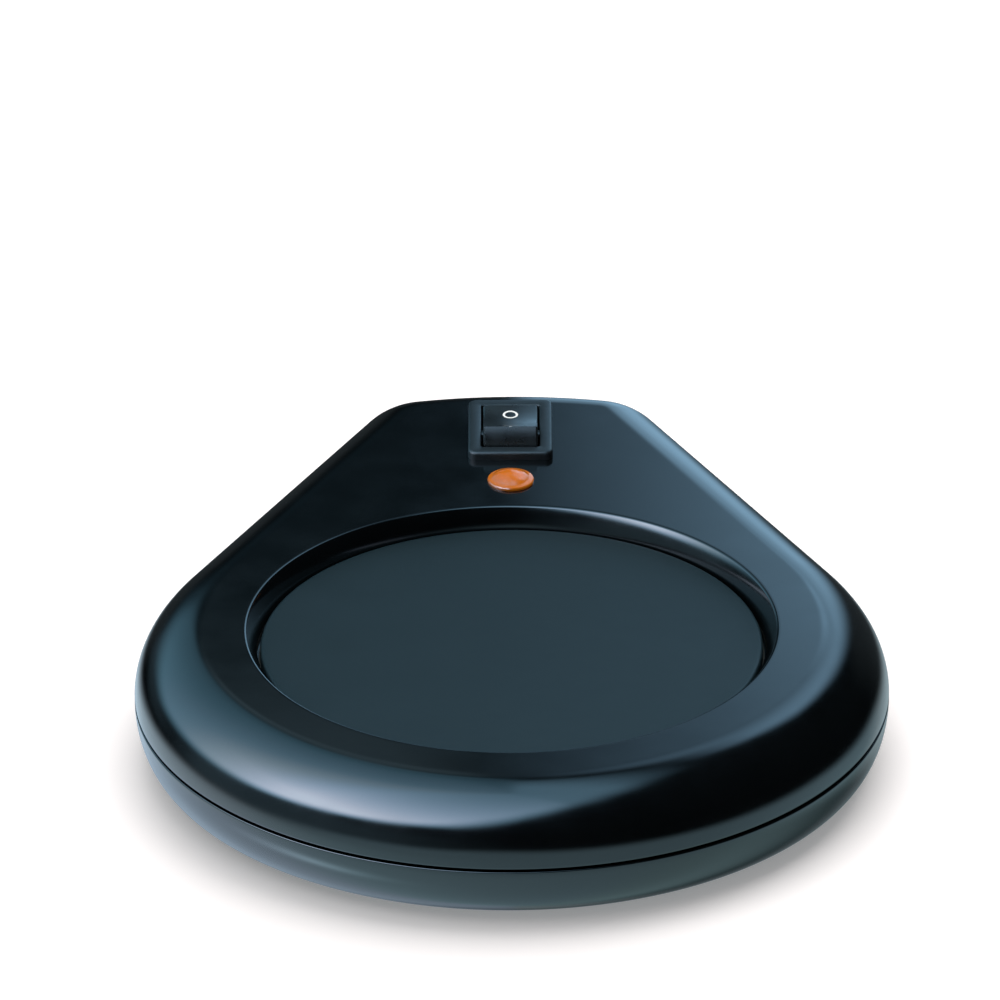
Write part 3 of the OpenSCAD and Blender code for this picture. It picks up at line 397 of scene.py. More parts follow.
# Principled finishes by slot: name, base (one of the scene's colours or an sRGB hex value), share by
# which it varies, size of its patches, roughness, by how much that varies, height and spacing of
# the relief, IOR and other inputs. Lengths are in millimetres.
FINISHES = {
    # Near-black under a clear, slightly wavy skin that mirrors softly
    "housing": (
        "abs gloss black", "housing", 0.25, 9, 0.13, 0.03, 0.0012, 2.6, 1.54,
        ("Specular IOR Level", 0.62),
    ),
    # Dark grey-blue baked coating on steel, with a fine dry grain
    "plate": (
        "nonstick coating satin", "plate", 0.05, 14, 0.5, 0.03, 0.004, 0.35, 1.45,
        ("Specular IOR Level", 0.36),
    ),
    # Glass-filled, with the fine sparkle of a spark-eroded mould
    "switch_plastic": ("nylon satin black", "switch", 0.2, 1.5, 0.42, 0.05, 0.006, 0.25, 1.53),
    # A little glossier than the bezel, polished by fingers
    "rocker_plastic": ("nylon polished black", "rocker", 0.15, 3, 0.3, 0.05, 0.003, 0.4, 1.53),
    # Dark grey, dull, with a soft dusty bloom
    "foot_rubber": (
        "rubber matt black", "rubber", 0.25, 1.2, 0.72, 0.06, 0.012, 0.3, 1.52,
        ("Specular IOR Level", 0.35), ("Sheen Weight", 0.08), ("Sheen Roughness", 0.5),
    ),
    # Pad-printed on the rocker
    "marks": ("ink matt white", "marks", 0.06, 0.4, 0.55, 0.05, 0.002, 0.15, 1.5),
    # Warm and even, with a small clear highlight
    "lens_amber": (
        "polycarbonate amber", "lens", 0.03, 1.5, 0.12, 0.02, 0.0006, 0.9, 1.58,
        ("Transmission Weight", 0.35),
    ),
    # Pale bluish grey metal with faint crystal patches
    "steel": ("steel zinc plated", "#b4b8bc", 0.08, 1.4, 0.34, 0.07, 0.004, 0.4, 1.5, ("Metallic", 1.0)),
    # Warm yellow metal, slightly dulled
    "brass": ("brass stamped", "#c8a35c", 0.1, 1.8, 0.3, 0.08, 0.003, 0.35, 1.5, ("Metallic", 1.0)),
    # Silvery brown flakes pressed in a binder
    "mica": (
        "mica paper pressed", "#a08f70", 0.3, 2.2, 0.38, 0.14, 0.02, 1.4, 1.58, ("Sheen Weight", 0.1),
    ),
    # Charcoal needled glass fibre, matt, with tangled short fibres
    "felt": ("felt graphite", "#33342f", 0.14, 0.7, 0.9, 0.05, 0.12, 0.5, 1.5, ("Sheen Weight", 0.1)),
    "insulation_black": ("pvc insulation black", "#17191a", *SLEEVE),
    "insulation_white": ("silicone insulation white", "#d9d6cc", *SLEEVE),
    "nylon_natural": ("nylon natural", "#cfc9b4", *SLEEVE),
    # Blown glass, clear, faintly amber from the gas filling
    "lamp_glass": (
        "glass clear lamp", "#f2d9b8", 0.03, 1.5, 0.03, 0.01, 0.001, 1.2, 1.5,
        ("Transmission Weight", 0.9),
    ),
}


def dressed(slot):
    """A new material from the table: one noise for colour and roughness, one for the relief."""
    name, base, spread, grain, rough, rough_spread, rise, pitch, ior, *others = FINISHES[slot]
    base = linear(base) if base[0] == "#" else colour(base)
    material, tree = new_material(name)
    where = add_node(tree, "ShaderNodeTexCoord")["Object"]
    noise = {"Vector": where, "Scale": 1 / (grain * MM), "Detail": 3.0}
    patches = add_node(tree, "ShaderNodeTexNoise", noise)[0]
    dark = [c * (1 - spread) for c in base] + [1]
    light = [min(1, c * (1 + spread)) for c in base] + [1]
    shade = add_node(tree, "ShaderNodeMix", {0: patches, 6: dark, 7: light}, data_type="RGBA")[2]
    low, high = rough - rough_spread, rough + rough_spread
    spans = {"Value": patches, "From Min": 0.3, "From Max": 0.7, "To Min": low, "To Max": high}
    gloss = add_node(tree, "ShaderNodeMapRange", spans)[0]
    noise = {"Vector": where, "Scale": 1 / (pitch * MM), "Detail": 2.0}
    relief = add_node(tree, "ShaderNodeTexNoise", noise)[0]
    bump = add_node(
        tree, "ShaderNodeBump", {"Strength": 1.0, "Distance": rise * MM, "Height": relief}
    )[0]
    shader = add_node(
        tree, "ShaderNodeBsdfPrincipled",
        {"Base Color": shade, "Roughness": gloss, "Normal": bump, "IOR": ior, **dict(others)},
    )[0]
    close_material(tree, shader)
    return material


# ---- Operators, one for each piece or group of like pieces ----


def place(item, body, slot, *nodes, material=None):
    """Gives a new piece its finish, made from the slot unless a material is given, puts it under its
    body, and hides the CAD nodes it stands for.
    """
    item.data.materials.clear()
    item.data.materials.append(material or dressed(slot))
    if nodes:
        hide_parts(*nodes)
    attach(item, body)


def slope_rows():
    """The upper housing's outside, from the seam up to the land, as (inset, height) rows.

    A small round at the seam, then a quarter-ellipse about (slope_run, seam_z), then a blend that
    leaves along the ellipse and arrives along the land.
    """
    run, rise, soft, low, top = sizes("slope_run", "slope_rise", "crest_soft", "seam_z", "top_z")
    edge, flat = 0.35, 0.3
    first = asin(edge / rise)
    last = acos(1 - soft / run)
    t = np.linspace(first, last, 52)
    slope = np.stack([run * (1 - np.cos(t)), low + rise * np.sin(t)], 1).tolist()
    steep = rise * cos(last) / (run * sin(last))
    corner = slope[-1][0] + (top - slope[-1][1]) / steep
    reach = dist(slope[-1], (corner, top))
    seam = round_over((edge, low), (0, low), slope[0], 6)
    crest = round_over(slope[-1], (corner, top), (corner + reach, top), 12)
    return seam[:-1] + slope + crest[1:] + [[corner + reach + flat, top]]


def inner_slope_rows():
    """The same ellipse moved inward by the wall, from the ceiling down to the seam."""
    *form, low = sizes("slope_run", "slope_rise", "wall", "seam_z")
    inset, up = inner_ellipse(*form, np.linspace(radians(73), 0, 18))
    return np.stack([inset, low + up], 1).tolist()


# Places in the plan, in x and y, and the height of the cord inlet's axis
SCREW_POSTS = ((51.35, -19.71), (-51.35, -19.71), (28.12, 65.96), (-28.12, 65.96))
FEET = {
    "foot_front_left": (-35.71, -35.71), "foot_front_right": (35.71, -35.71),
    "foot_rear_left": (-16.01, 84.0), "foot_rear_right": (16.01, 84.0),
}
LENS_Y, SWITCH_Y, INLET_Y, INLET_Z = 57.0, 76.0, 99.3, 11.85
# Radius of the lens's hole; half width, half length and corner of the switch's hole
LENS_HOLE_R, SWITCH_HOLE = 3.3, (6.6, 9.7, 0.4)
# Radius of the screw posts, height of the seats of the feet
POST_R, FOOT_SEAT_Z = 3.5, 2.5
# The block round the inlet in both housings: half width, inner face and rounding of its edges
BLOCK_HALF, BLOCK_FROM, BLOCK_EDGE = 7.8, 96.3, 0.5
# The block stays this much off the seam's planes, so that no two faces lie in one plane
APART = 0.001


def inlet_cutter():
    """The square neck hole of the cord inlet with its wider flange seat, as one stepped shell."""
    neck, seat = (4.4, 4.4, 0.3), (6.1, 6.1, 0.9)
    rows = [(*neck, -9), (*neck, 0), (*seat, 0), (*seat, 6)]
    return Shell().loft(along_y(squared(rows, corner_steps=5), (0, INLET_Y, INLET_Z)), "capped")


class WARMER_OT_upper_housing(bpy.types.Operator):
    """Builds the upper housing: slope, land, recess, ledge, inner wall and screw posts"""

    bl_idname = "warmer.upper_housing"
    bl_label = "Upper Housing"

    def execute(self, context):
        curve = outline_curve()
        wall, top, low = sizes("wall", "top_z", "seam_z")
        under = top - wall
        ceiling_inset, ceiling_step = 12.9, 0.15
        inner = inner_slope_rows()
        ceiling = [[ceiling_inset, under], [inner[0][0] + ceiling_step, under]]
        outside = swept(curve, slope_rows())
        inside = swept(curve, ceiling + inner)
        shell = Shell().loft(outside).loft(inside)
        shell.loft(np.stack([inside[-1], outside[0]]))
        # Rim: flat guard, rounding, leaning wall, then the plate's pocket, ledge and outer tube
        rim, soft, recess, plate = sizes("rim_r", "rim_soft", "recess_r", "plate_z")
        guard, half_turn, tube_r = 0.4, radians(30.4), rim + 0.3
        ledge_r, ledge_top = 41.0, plate - 3.2
        ledge_under = ledge_top - 1.5
        lean = np.array([rim - recess, top - plate])
        lean = lean / np.linalg.norm(lean)
        reach = soft * tan(half_turn)
        rounding = round_over(
            (rim + reach, top), (rim, top), (rim - reach * lean[0], top - reach * lean[1]), 9
        )
        bowl = turned([
            [rim + reach + guard, top], *rounding, [recess, plate], [recess, ledge_top],
            [ledge_r, ledge_top], [ledge_r, ledge_under], [tube_r, ledge_under], [tube_r, under],
        ], count=224)
        shell.loft(bowl)
        lens = turned([(LENS_HOLE_R, top), (LENS_HOLE_R, under)], (0, LENS_Y))
        slot = squared([(*SWITCH_HOLE, top), (*SWITCH_HOLE, under)], (0, SWITCH_Y))
        shell.loft(lens).loft(slot)
        shell.fill(outside[-1], [bowl[0], lens[0], slot[0]])
        shell.fill(inside[0], [bowl[-1], lens[1], slot[1]])
        # Screw posts: a blind bore, eased at its mouth and end, in a post that enters the ceiling
        bore, bore_end, ease, sunk = 1.5, 21.1, 0.3, 0.1
        profile = [
            (0, bore_end), (bore - ease, bore_end), (bore, bore_end - ease), (bore, low + ease),
            (bore + ease, low), (POST_R - ease, low), (POST_R, low + ease), (POST_R, under + sunk),
            (0, under + sunk),
        ]
        posts = [Shell().loft(turned(profile, spot, 40)) for spot in SCREW_POSTS]
        block_end, block_top = 100.05, 18.75
        inlet_block = block(
            (-BLOCK_HALF, BLOCK_FROM, low + APART), (BLOCK_HALF, block_end, block_top), BLOCK_EDGE
        )
        item = shell.build("upper_shell", joins=[inlet_block], cuts=[inlet_cutter()], extras=posts)
        place(item, "base", "housing", "upper_housing")
        return {"FINISHED"}


class WARMER_OT_lower_housing(bpy.types.Operator):
    """Builds the lower housing: curved side, floor with vents, lip, screw posts and foot recesses"""

    bl_idname = "warmer.lower_housing"
    bl_label = "Lower Housing"

    def execute(self, context):
        curve = outline_curve()
        top, low, wall, post_top = sizes("lower_top", "underside", "wall", "seam_z")
        high, floor, run, edge, flat = top - low, low + wall, 5.5, 0.3, 0.4
        # Outside: a rounded edge, a quarter-ellipse of half axes run and high, then the underside
        t = np.linspace(0.03, pi / 2, 30)
        side = np.stack([run * (1 - np.cos(t)), top - high * np.sin(t)], 1).tolist()
        rounding = round_over((edge, top), (0, top), side[0], 5)
        outside = swept(curve, rounding[:-1] + side + [[run + flat, low]])
        # Inside: the floor, the ellipse moved in by the wall, and the lip that stands in the seam
        inset, up = inner_ellipse(run, high, wall, np.linspace(radians(67), 0.25, 12))
        inner = np.stack([inset, top - up], 1)
        inner = inner[inner[:, 1] > floor + 0.1].tolist()
        lip_in, lip_out, lip_foot, lip_top, ease = 3.9, 2.6, 9.0, 13.7, 0.2
        lip = [
            [lip_in, lip_foot], [lip_in, lip_top - ease], [lip_in - ease, lip_top],
            [lip_out + ease, lip_top], [lip_out, lip_top - ease], [lip_out, top], [edge, top],
        ]
        inside = swept(curve, [[7.4, floor], [7.0, floor]] + inner + lip)
        # The lip makes way for the cord inlet
        gap_half, gap_from, gap_top = 8.1, 91.9, top + 0.02
        near_inlet = (np.abs(inside[..., 0]) < gap_half) & (inside[..., 1] > gap_from)
        inside[..., 2] = np.where(near_inlet, np.minimum(inside[..., 2], gap_top), inside[..., 2])
        shell = Shell().loft(outside).loft(inside)
        # Holes through the floor: the screws' with their posts, the feet's and the vents
        head_r, head_z, screw_r = 2.8, 5.6, 1.65
        post = [
            (head_r, low), (head_r, head_z), (screw_r, head_z), (screw_r, post_top),
            (POST_R - ease, post_top), (POST_R, post_top - ease), (POST_R, floor),
        ]
        seat_r, stem_r = 5.6, 2.1
        seat = [(seat_r, low), (seat_r, FOOT_SEAT_Z), (stem_r, FOOT_SEAT_Z), (stem_r, floor)]
        holes = [turned(post, spot, 40) for spot in SCREW_POSTS]
        holes += [turned(seat, spot, 48) for spot in FEET.values()]
        vent, vent_ring, vent_count = (7, 1.2, 1.15), 27, 16
        first = squared([(*vent, low), (*vent, floor)], (vent_ring, 0), 6)
        for turn in np.arange(vent_count) * 2 * pi / vent_count:
            c, s = cos(turn), sin(turn)
            holes.append(first @ np.array([[c, s, 0], [-s, c, 0], [0, 0, 1]]))
        for rings in holes:
            shell.loft(rings)
        shell.fill(outside[-1], [rings[0] for rings in holes])
        shell.fill(inside[0], [rings[-1] for rings in holes])
        block_low = 2.7
        inlet_block = block(
            (-BLOCK_HALF, BLOCK_FROM, block_low), (BLOCK_HALF, INLET_Y, top - APART), BLOCK_EDGE
        )
        item = shell.build("lower_shell", joins=[inlet_block], cuts=[inlet_cutter()])
        place(item, "base", "housing", "lower_housing")
        return {"FINISHED"}


class WARMER_OT_warming_plate(bpy.types.Operator):
    """Builds the warming plate: flat face, rounded edge and skirt"""

    bl_idname = "warmer.warming_plate"
    bl_label = "Warming Plate"

    def execute(self, context):
        r, top = sizes("plate_r", "plate_z")
        middle, edge, flat, sheet, skirt_end = 20, 0.7, 0.4, 1, 18.9
        rounding = round_over((r - edge, top), (r, top), (r, top - edge), 8)
        rows = [
            [0, top], [middle, top], [r - edge - flat, top], *rounding, [r, skirt_end],
            [r - sheet, skirt_end], [r - sheet, top - sheet], [0, top - sheet],
        ]
        shell = Shell().loft(turned(rows, count=224))
        place(shell.build("plate_disc"), "base", "plate", "warming_plate")
        return {"FINISHED"}


class WARMER_OT_switch(bpy.types.Operator):
    """Builds the switch's bezel and body, and the rocker with its printed on and off marks"""

    bl_idname = "warmer.switch"
    bl_label = "Rocker Switch"

    def execute(self, context):
        # Bezel and body from the well's floor up its wall, over the rounded bezel and down outside
        (top,) = sizes("top_z")
        crown = top + 1.6
        well, bezel, body, foot = (5.3, 8.4, 0.5), (7.7, 10.8, 1.5), (6.5, 9.6, 0.5), (6.2, 9.3, 0.4)
        well_floor, well_edge, bezel_edge, body_low, body_end = 12.3, 0.3, 0.6, 11.5, 11.1
        rows = [(*well, well_floor), (*well, crown - well_edge)]
        rows += rounded(well, -well_edge, crown - well_edge, (60, 30, 0))
        rows += rounded(bezel, bezel_edge, crown - bezel_edge, (0, 20, 40, 60, 80, 90))
        rows += [(*bezel, top), (*body, top), (*body, body_low), (*foot, body_end)]
        shell = Shell().loft(squared(rows, (0, SWITCH_Y)), "capped")
        place(shell.build("switch_case"), "base", "switch_plastic", "switch_body")

        # The rocker in its own frame: pivot at the origin, length along Y, tilted by 11 degrees.
        # Its ends are arcs of radius reach, from the skirt up to the top's corners at y = end.
        reach, half, tilt, pivot_drop = 8.05, 4.95, radians(11), 2
        end, middle, hollow, skirt, skirt_half = 7.15, 2.3, 0.4, 2.0, 7
        rise = end * tan(tilt)
        lower_end = asin(skirt / reach)
        upper_end = asin((middle + rise) / reach)

        def face(y):
            """Height of the rocker's top: straight from the middle to each end, but hollowed."""
            share = np.abs(y) / end
            return middle + rise * share - hollow * 4 * share * (1 - share)

        a = np.linspace(-lower_end, upper_end, 10)
        tail = np.stack([reach * np.cos(a), reach * np.sin(a)], 1)
        y = np.linspace(end, -end, 41)[1:-1]
        profile = np.concatenate([
            tail, np.stack([y, face(y)], 1), tail[::-1] * [-1, 1],
            np.stack([np.linspace(-skirt_half, skirt_half, 8), np.full(8, -skirt)], 1),
        ])
        # The profile shrinks a little towards both flanks, which rounds the edges
        edge, half_height = 0.35, 3.6
        rings = []
        for x, back in [(-half, edge), (-half + 0.1, 0.45 * edge), (-half + edge, 0)]:
            scale = np.array([1 - back / reach, 1 - back / half_height])
            rings.append(np.column_stack([np.full(len(profile), x), profile * scale]))
        rings += [ring * [-1, 1, 1] for ring in rings[::-1]]
        shell = Shell().loft(np.array(rings), "capped")
        pin_r, pin_start, pin_end, pin_edge = 0.9, 4.5, 6.2, 0.1
        pin = turned([
            (0, pin_start), (pin_r, pin_start), (pin_r, pin_end - pin_edge),
            (pin_r - pin_edge, pin_end), (0, pin_end),
        ], count=20)
        for side in (-1, 1):
            shell.loft(stacked(side * pin[..., 2], pin[..., 0], pin[..., 1]))
        tube_r, tube_bore, tube_top, tube_end, bore_top = 2, 1.35, -1.5, -6.6, -2.4
        shell.loft(turned([
            (0, tube_top), (tube_r, tube_top), (tube_r, tube_end), (tube_bore, tube_end),
            (tube_bore, bore_top), (0, bore_top),
        ], count=28))
        seat = Matrix.Translation((0, SWITCH_Y * MM, (crown - pivot_drop) * MM))
        seat = seat @ Matrix.Rotation(-tilt, 4, "X")
        place(shell.build("rocker_cap", seat), "rocker", "rocker_plastic", "rocker")

        # A ring and a bar, each a thin closed sheet that follows the hollow face
        off_y, on_y, proud, sunk = 4.1, -4.1, 0.03, 0.1
        ring_in, ring_out, bar_half, bar_length, bar_corner = 1.0, 1.4, 0.25, 1.35, 0.2
        marks = Shell()
        for rows, y, ends in (
            ([(ring_in, ring_in, ring_in, 0), (ring_out, ring_out, ring_out, 0)], off_y, "joined"),
            ([(0, 0, 0, 0), (bar_half, bar_length, bar_corner, 0)], on_y, "open"),
        ):
            flat = squared(rows, (0, y))
            upper, lower = flat.copy(), flat[::-1].copy()
            upper[..., 2] = face(upper[..., 1]) + proud
            lower[..., 2] = face(lower[..., 1]) - sunk
            marks.loft(np.concatenate([upper, lower]), ends)
        item = marks.build("rocker_marks", seat)
        place(item, "rocker", "rocker_plastic", material=dressed("marks"))
        return {"FINISHED"}


class WARMER_OT_pilot_lens(bpy.types.Operator):
    """Builds the domed pilot lens with its flange and hollow barrel"""

    bl_idname = "warmer.pilot_lens"
    bl_label = "Pilot Lens"

    def execute(self, context):
        # Dome: a circle of radius ball from the crown down to the foot, then the rounded flange
        (top,) = sizes("top_z")
        crown, ball, foot, flange = top + 1.9, 5.704, 3.5, 4.2
        a = np.linspace(pi / 2, acos(foot / ball), 14)
        rows = np.stack([ball * np.cos(a), crown - ball + ball * np.sin(a)], 1).tolist()
        rows[0][0] = 0
        rows += [[3.75, top + 0.66], [4.05, top + 0.56], [flange, top + 0.35], [flange, top]]
        barrel, barrel_end, bore, roof = 3.2, 18.1, 2.45, 25.0
        rows += [[barrel, top], [barrel, barrel_end + 0.2], [barrel - 0.15, barrel_end]]
        rows += [[bore, barrel_end], [bore, roof]]
        # The roof of the hollow is ribbed in rings, which spread the lamp's glow
        roof_r, roof_mid, sag, rib, rib_rate = 2.3, 25.55, 0.36, 0.12, 5.4
        r = np.linspace(roof_r, 0.0, 24)
        z = roof_mid - sag * (r / roof_r) ** 2 + rib * np.abs(np.sin(r * rib_rate))
        shell = Shell().loft(turned(rows + np.stack([r, z], 1).tolist(), (0, LENS_Y), 64))
        place(shell.build("pilot_dome"), "base", "lens_amber", "indicator_lens")
        return {"FINISHED"}


class WARMER_OT_grommet(bpy.types.Operator):
    """Builds the cord grommet: two square flanges, the neck between them and the round hole"""

    bl_idname = "warmer.grommet"
    bl_label = "Cord Grommet"

    def execute(self, context):
        # Rows run along the cord: out through the hole, over the outer flange and back outside
        flange, neck, edge = (5.8, 5.8, 1.0), (4.3, 4.3, 0.6), 0.5
        hole_r, mouth_r, inner_face, inner_end = 3.1, 3.4, -3.2, -4.7
        rows = [(r, r, r, z) for r, z in ((hole_r, -4.6), (hole_r, 1.25), (3.18, 1.42), (mouth_r, 1.5))]
        rows += rounded(flange, edge, 1.0, (0, 22, 45, 67, 90))
        rows += [
            (*flange, 0), (*neck, 0), (*neck, inner_face), (*flange, inner_face), (*flange, -4.3),
            (5.4, 5.4, 0.8, inner_end), (mouth_r, mouth_r, mouth_r, inner_end), rows[0],
        ]
        shell = Shell().loft(along_y(squared(rows), (0, INLET_Y + 0.1, INLET_Z)))
        place(shell.build("grommet_body"), "base", "foot_rubber", "cord_grommet")
        return {"FINISHED"}


class WARMER_OT_feet(bpy.types.Operator):
    """Builds the four rubber feet: a rounded pad with a moulding dimple, a stem and a barb"""

    bl_idname = "warmer.feet"
    bl_label = "Feet"

    def execute(self, context):
        pad, edge, stem, barb, barb_z, end = 5.5, 0.8, 2.0, 2.7, 3.9, 4.8
        dimple = [[0, 0.35], [0.8, 0.3], [1.15, 0.06], [1.3, 0]]
        rows = dimple + round_over((pad - edge, 0), (pad, 0), (pad, edge), 7) + [
            [pad, FOOT_SEAT_Z], [stem, FOOT_SEAT_Z], [stem, barb_z], [barb, barb_z],
            [barb - 0.05, barb_z + 0.15], [stem, end], [0, end],
        ]
        rubber = dressed("foot_rubber")
        for node, spot in FEET.items():
            shell = Shell().loft(turned(rows, spot, 56))
            item = shell.build(node.replace("foot", "pad"))
            place(item, "base", "foot_rubber", node, material=rubber)
        return {"FINISHED"}


class WARMER_OT_inner_pieces(bpy.types.Operator):
    """Gives the heater, the wiring and the fasteners, which keep their CAD shapes, their finishes"""

    bl_idname = "warmer.inner_pieces"
    bl_label = "Inner Pieces"

    def execute(self, context):
        finishes = {}
        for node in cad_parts.values():
            if node.hide_render:
                continue
            slot = node.data.materials[0].name.split(".")[0]
            if slot not in finishes:
                finishes[slot] = dressed(slot)
            node.data.materials[0] = finishes[slot]
        return {"FINISHED"}


# ---- Stage ----

# Floor: a disc's radius in millimetres, and the light it gives off where it is seen
FLOOR_R, FLOOR_GLOW = 3000, 0.22
# Dome: radius in millimetres, and how many points go round it and up it
DOME_R, DOME_COLS, DOME_ROWS = 600, 480, 181
# Soft lights: name, place and side in millimetres, power in watts
LAMPS = (("key", (120, 350, 900), 1000, 10.0), ("fill", (-450, -350, 1000), 900, 3.0))
# World: strength where it lights, and where it is seen
WORLD_LIGHT, WORLD_SEEN = 0.26, 1.0
# Camera: distance, height of its aim, sensor width and focal length in millimetres; degrees up,
# and the last small turns about its own X, Y and Z in degrees
AWAY, AIM_Z, SENSOR, FOCAL = 2500, 12, 36.0, 506.592
CAMERA_UP, CAMERA_TURNS = 27.87, (0.7745, 0.0441, -0.2946)


def smooth(start, stop, value):
    """Goes from 0 at start to 1 at stop along a smooth S; stop may lie below start."""
    t = np.clip((value - start) / (stop - start), 0, 1)
    return t * t * (3 - 2 * t)


def bell(value, middle, width):
    """A bell curve: 1 at the middle, and 1 / e at a width from it."""
    return np.exp(-(((value - middle) / width) ** 2))


def tinted(light, red, blue):
    """RGB light from its green level and the shares of red and blue."""
    return np.stack([light * red, light, light * blue], -1)


def soft_light(azimuth, height):
    """The large soft light at the left front, and the light that spills below its edge.

    Its level falls exponentially to both sides of -66 degrees and evens out towards overhead.
    Its lower edge climbs from the left to the right, and at the far left it has an upright end.
    """
    off = azimuth + 66
    fade = np.where(off < 0, (np.hypot(off, 8) - 8) / 29.5, (np.hypot(off, 20) - 20) / 155)
    level = np.where(azimuth > 30, 1.9 - 0.4 * smooth(60, 150, azimuth), 9.3 * np.exp(-fade))
    over = 1.95 - 0.3 * smooth(20, 140, np.abs(azimuth + 40))
    share = 1 - np.clip((height - 36) / 52, 0, 1)
    soft = over * (level / over) ** share
    edge = np.interp(
        azimuth, [-180, -150, -127, -82, -37, -18, 7, 26, 60, 180],
        [14, 8.5, 9.5, 20.4, 34.6, 41.8, 58.2, 66.5, 71.5, 71.5],
    )
    blur = 5 + 6 * smooth(95, 125, azimuth) + 4 * bell(azimuth, -5, 18) + 3 * smooth(-130, -150, azimuth)
    soft *= smooth(edge - blur, edge + blur, height)
    end = -157 - 6 * smooth(10, 28, height) - 16 * smooth(44, 64, height)
    soft *= np.where(
        height > 62, 0.7 + 0.3 * smooth(-180, -160, azimuth),
        0.12 + 0.88 * smooth(end - 4, end + 4, azimuth),
    )
    left = smooth(-75, -100, azimuth)
    soft *= 1 - 0.08 * left - 0.12 * smooth(-95, -120, azimuth)
    # The brighter the light, the less blue it is
    red = 0.52 + 0.34 * np.clip((soft - 1.8) / 6, 0, 1) ** 0.8
    red += left * (0.09 * smooth(1.2, 2.2, soft) - 0.08 * smooth(1.2, 0.6, soft))
    blue = 1.37 - 0.17 * smooth(3, 10, soft) - 0.14 * left * smooth(1, 3, soft)
    spill = 0.3 * smooth(-118, -95, azimuth) * smooth(5, -60, azimuth)
    spill += 0.09 * smooth(-155, -145, azimuth) * smooth(-105, -125, azimuth)
    spill *= smooth(36, 15, height) * smooth(-6, 2, height)
    return tinted(soft, red, blue) + tinted(spill, 0.6, 1.25)


def table_light(azimuth, height):
    """The pale table below a horizon that falls away to the sides.

    Near the object, which is low in the mirror, it is brighter at the left with a streak before
    it, and in shadow at the back right.
    """
    around = np.abs(azimuth)
    fall = np.where(azimuth < 0, np.minimum(1, (around / 130) ** 2), np.minimum(0.9, around / 115))
    horizon = 6 - 14.5 * fall - 0.28 * np.maximum(0, around - 130) - 2.5 * bell(azimuth, -72, 26)
    horizon += 2 * smooth(-25, -5, azimuth) * smooth(120, 95, azimuth)
    far = 0.78 + 0.8 * bell(azimuth, -97, 64) * smooth(3, -17, height)
    far += 0.12 * bell(azimuth, 85, 28) - 0.14 * bell(azimuth, 124, 13)
    far *= 1 - 0.6 * smooth(np.where(azimuth > 0, 138, 150), 180, around)
    near = 0.87 + 0.52 * bell(azimuth, -78, 66) * (1 - 0.45 * smooth(-50, -90, height))
    from_shadow = np.abs((azimuth + 30) % 360 - 180)
    near *= 1 - 0.8 * smooth(80, 25, from_shadow) * smooth(-95, -60, height)
    near += 1.65 * bell(azimuth, -68, 20) * bell(height + 0.17 * (azimuth + 75), -38.5, 3.5)
    table = far + (near - far) * smooth(-24, -34, height)
    table *= smooth(horizon + 4, horizon - 7, height)
    left, right, low = smooth(-40, -100, azimuth), smooth(120, 140, azimuth), smooth(-20, -32, height)
    blue = 1.16 + (0.08 * left - 0.08 * smooth(20, 60, azimuth)) * low - 0.06 * right * (1 - low)
    return tinted(table, 0.64 + 0.13 * np.maximum(left, right), blue)


def back_light(azimuth, height):
    """A card at the back right whose front edge leans, the dim back of the room and its wall."""
    front = 133 + 0.654 * np.clip(42 - height, 0, 60)
    card = 1.8 * smooth(front - 3, front + 9, azimuth) * smooth(64, 46, height) * smooth(-24, 6, height)
    card *= 1 - 0.875 * np.clip((azimuth - 141) / 39, 0, 1) * smooth(18, 26, height)
    card *= (1 - 0.32 * smooth(28, 16, height)) * (1 - 0.4 * smooth(172, 180, azimuth))
    card += bell(azimuth, 169, 7) * bell(height, 27, 3.5)
    dim = np.where(
        azimuth > 0, 0.05 * smooth(125, 150, azimuth) * smooth(24, 12, height),
        0.04 * smooth(-142, -156, azimuth) * smooth(9, -2, height),
    )
    wall = 0.28 * smooth(-180, -176, azimuth) * smooth(-160, -170, azimuth)
    wall *= smooth(30, 33, height) * smooth(60, 45, height)
    return tinted(card, 0.56, 1.4) + tinted(dim, 0.8, 1.1) + tinted(wall, 0.65, 1.2)


def studio_glow(azimuth, height):
    """Light that gloss mirrors, by direction: azimuth from -Y towards +X and height, in degrees.

    A level of 1 is white. The three lights are sums and products of ramps and bells in degrees.
    """
    return sum(light(azimuth, height) for light in (soft_light, table_light, back_light))


def seen_by(tree, *kinds):
    """1 for rays of any of the kinds, else 0."""
    rays = add_node(tree, "ShaderNodeLightPath")
    seen = rays[kinds[0]]
    for kind in kinds[1:]:
        seen = add_node(tree, "ShaderNodeMath", {0: seen, 1: rays[kind]}, operation="MAXIMUM")[0]
    return seen


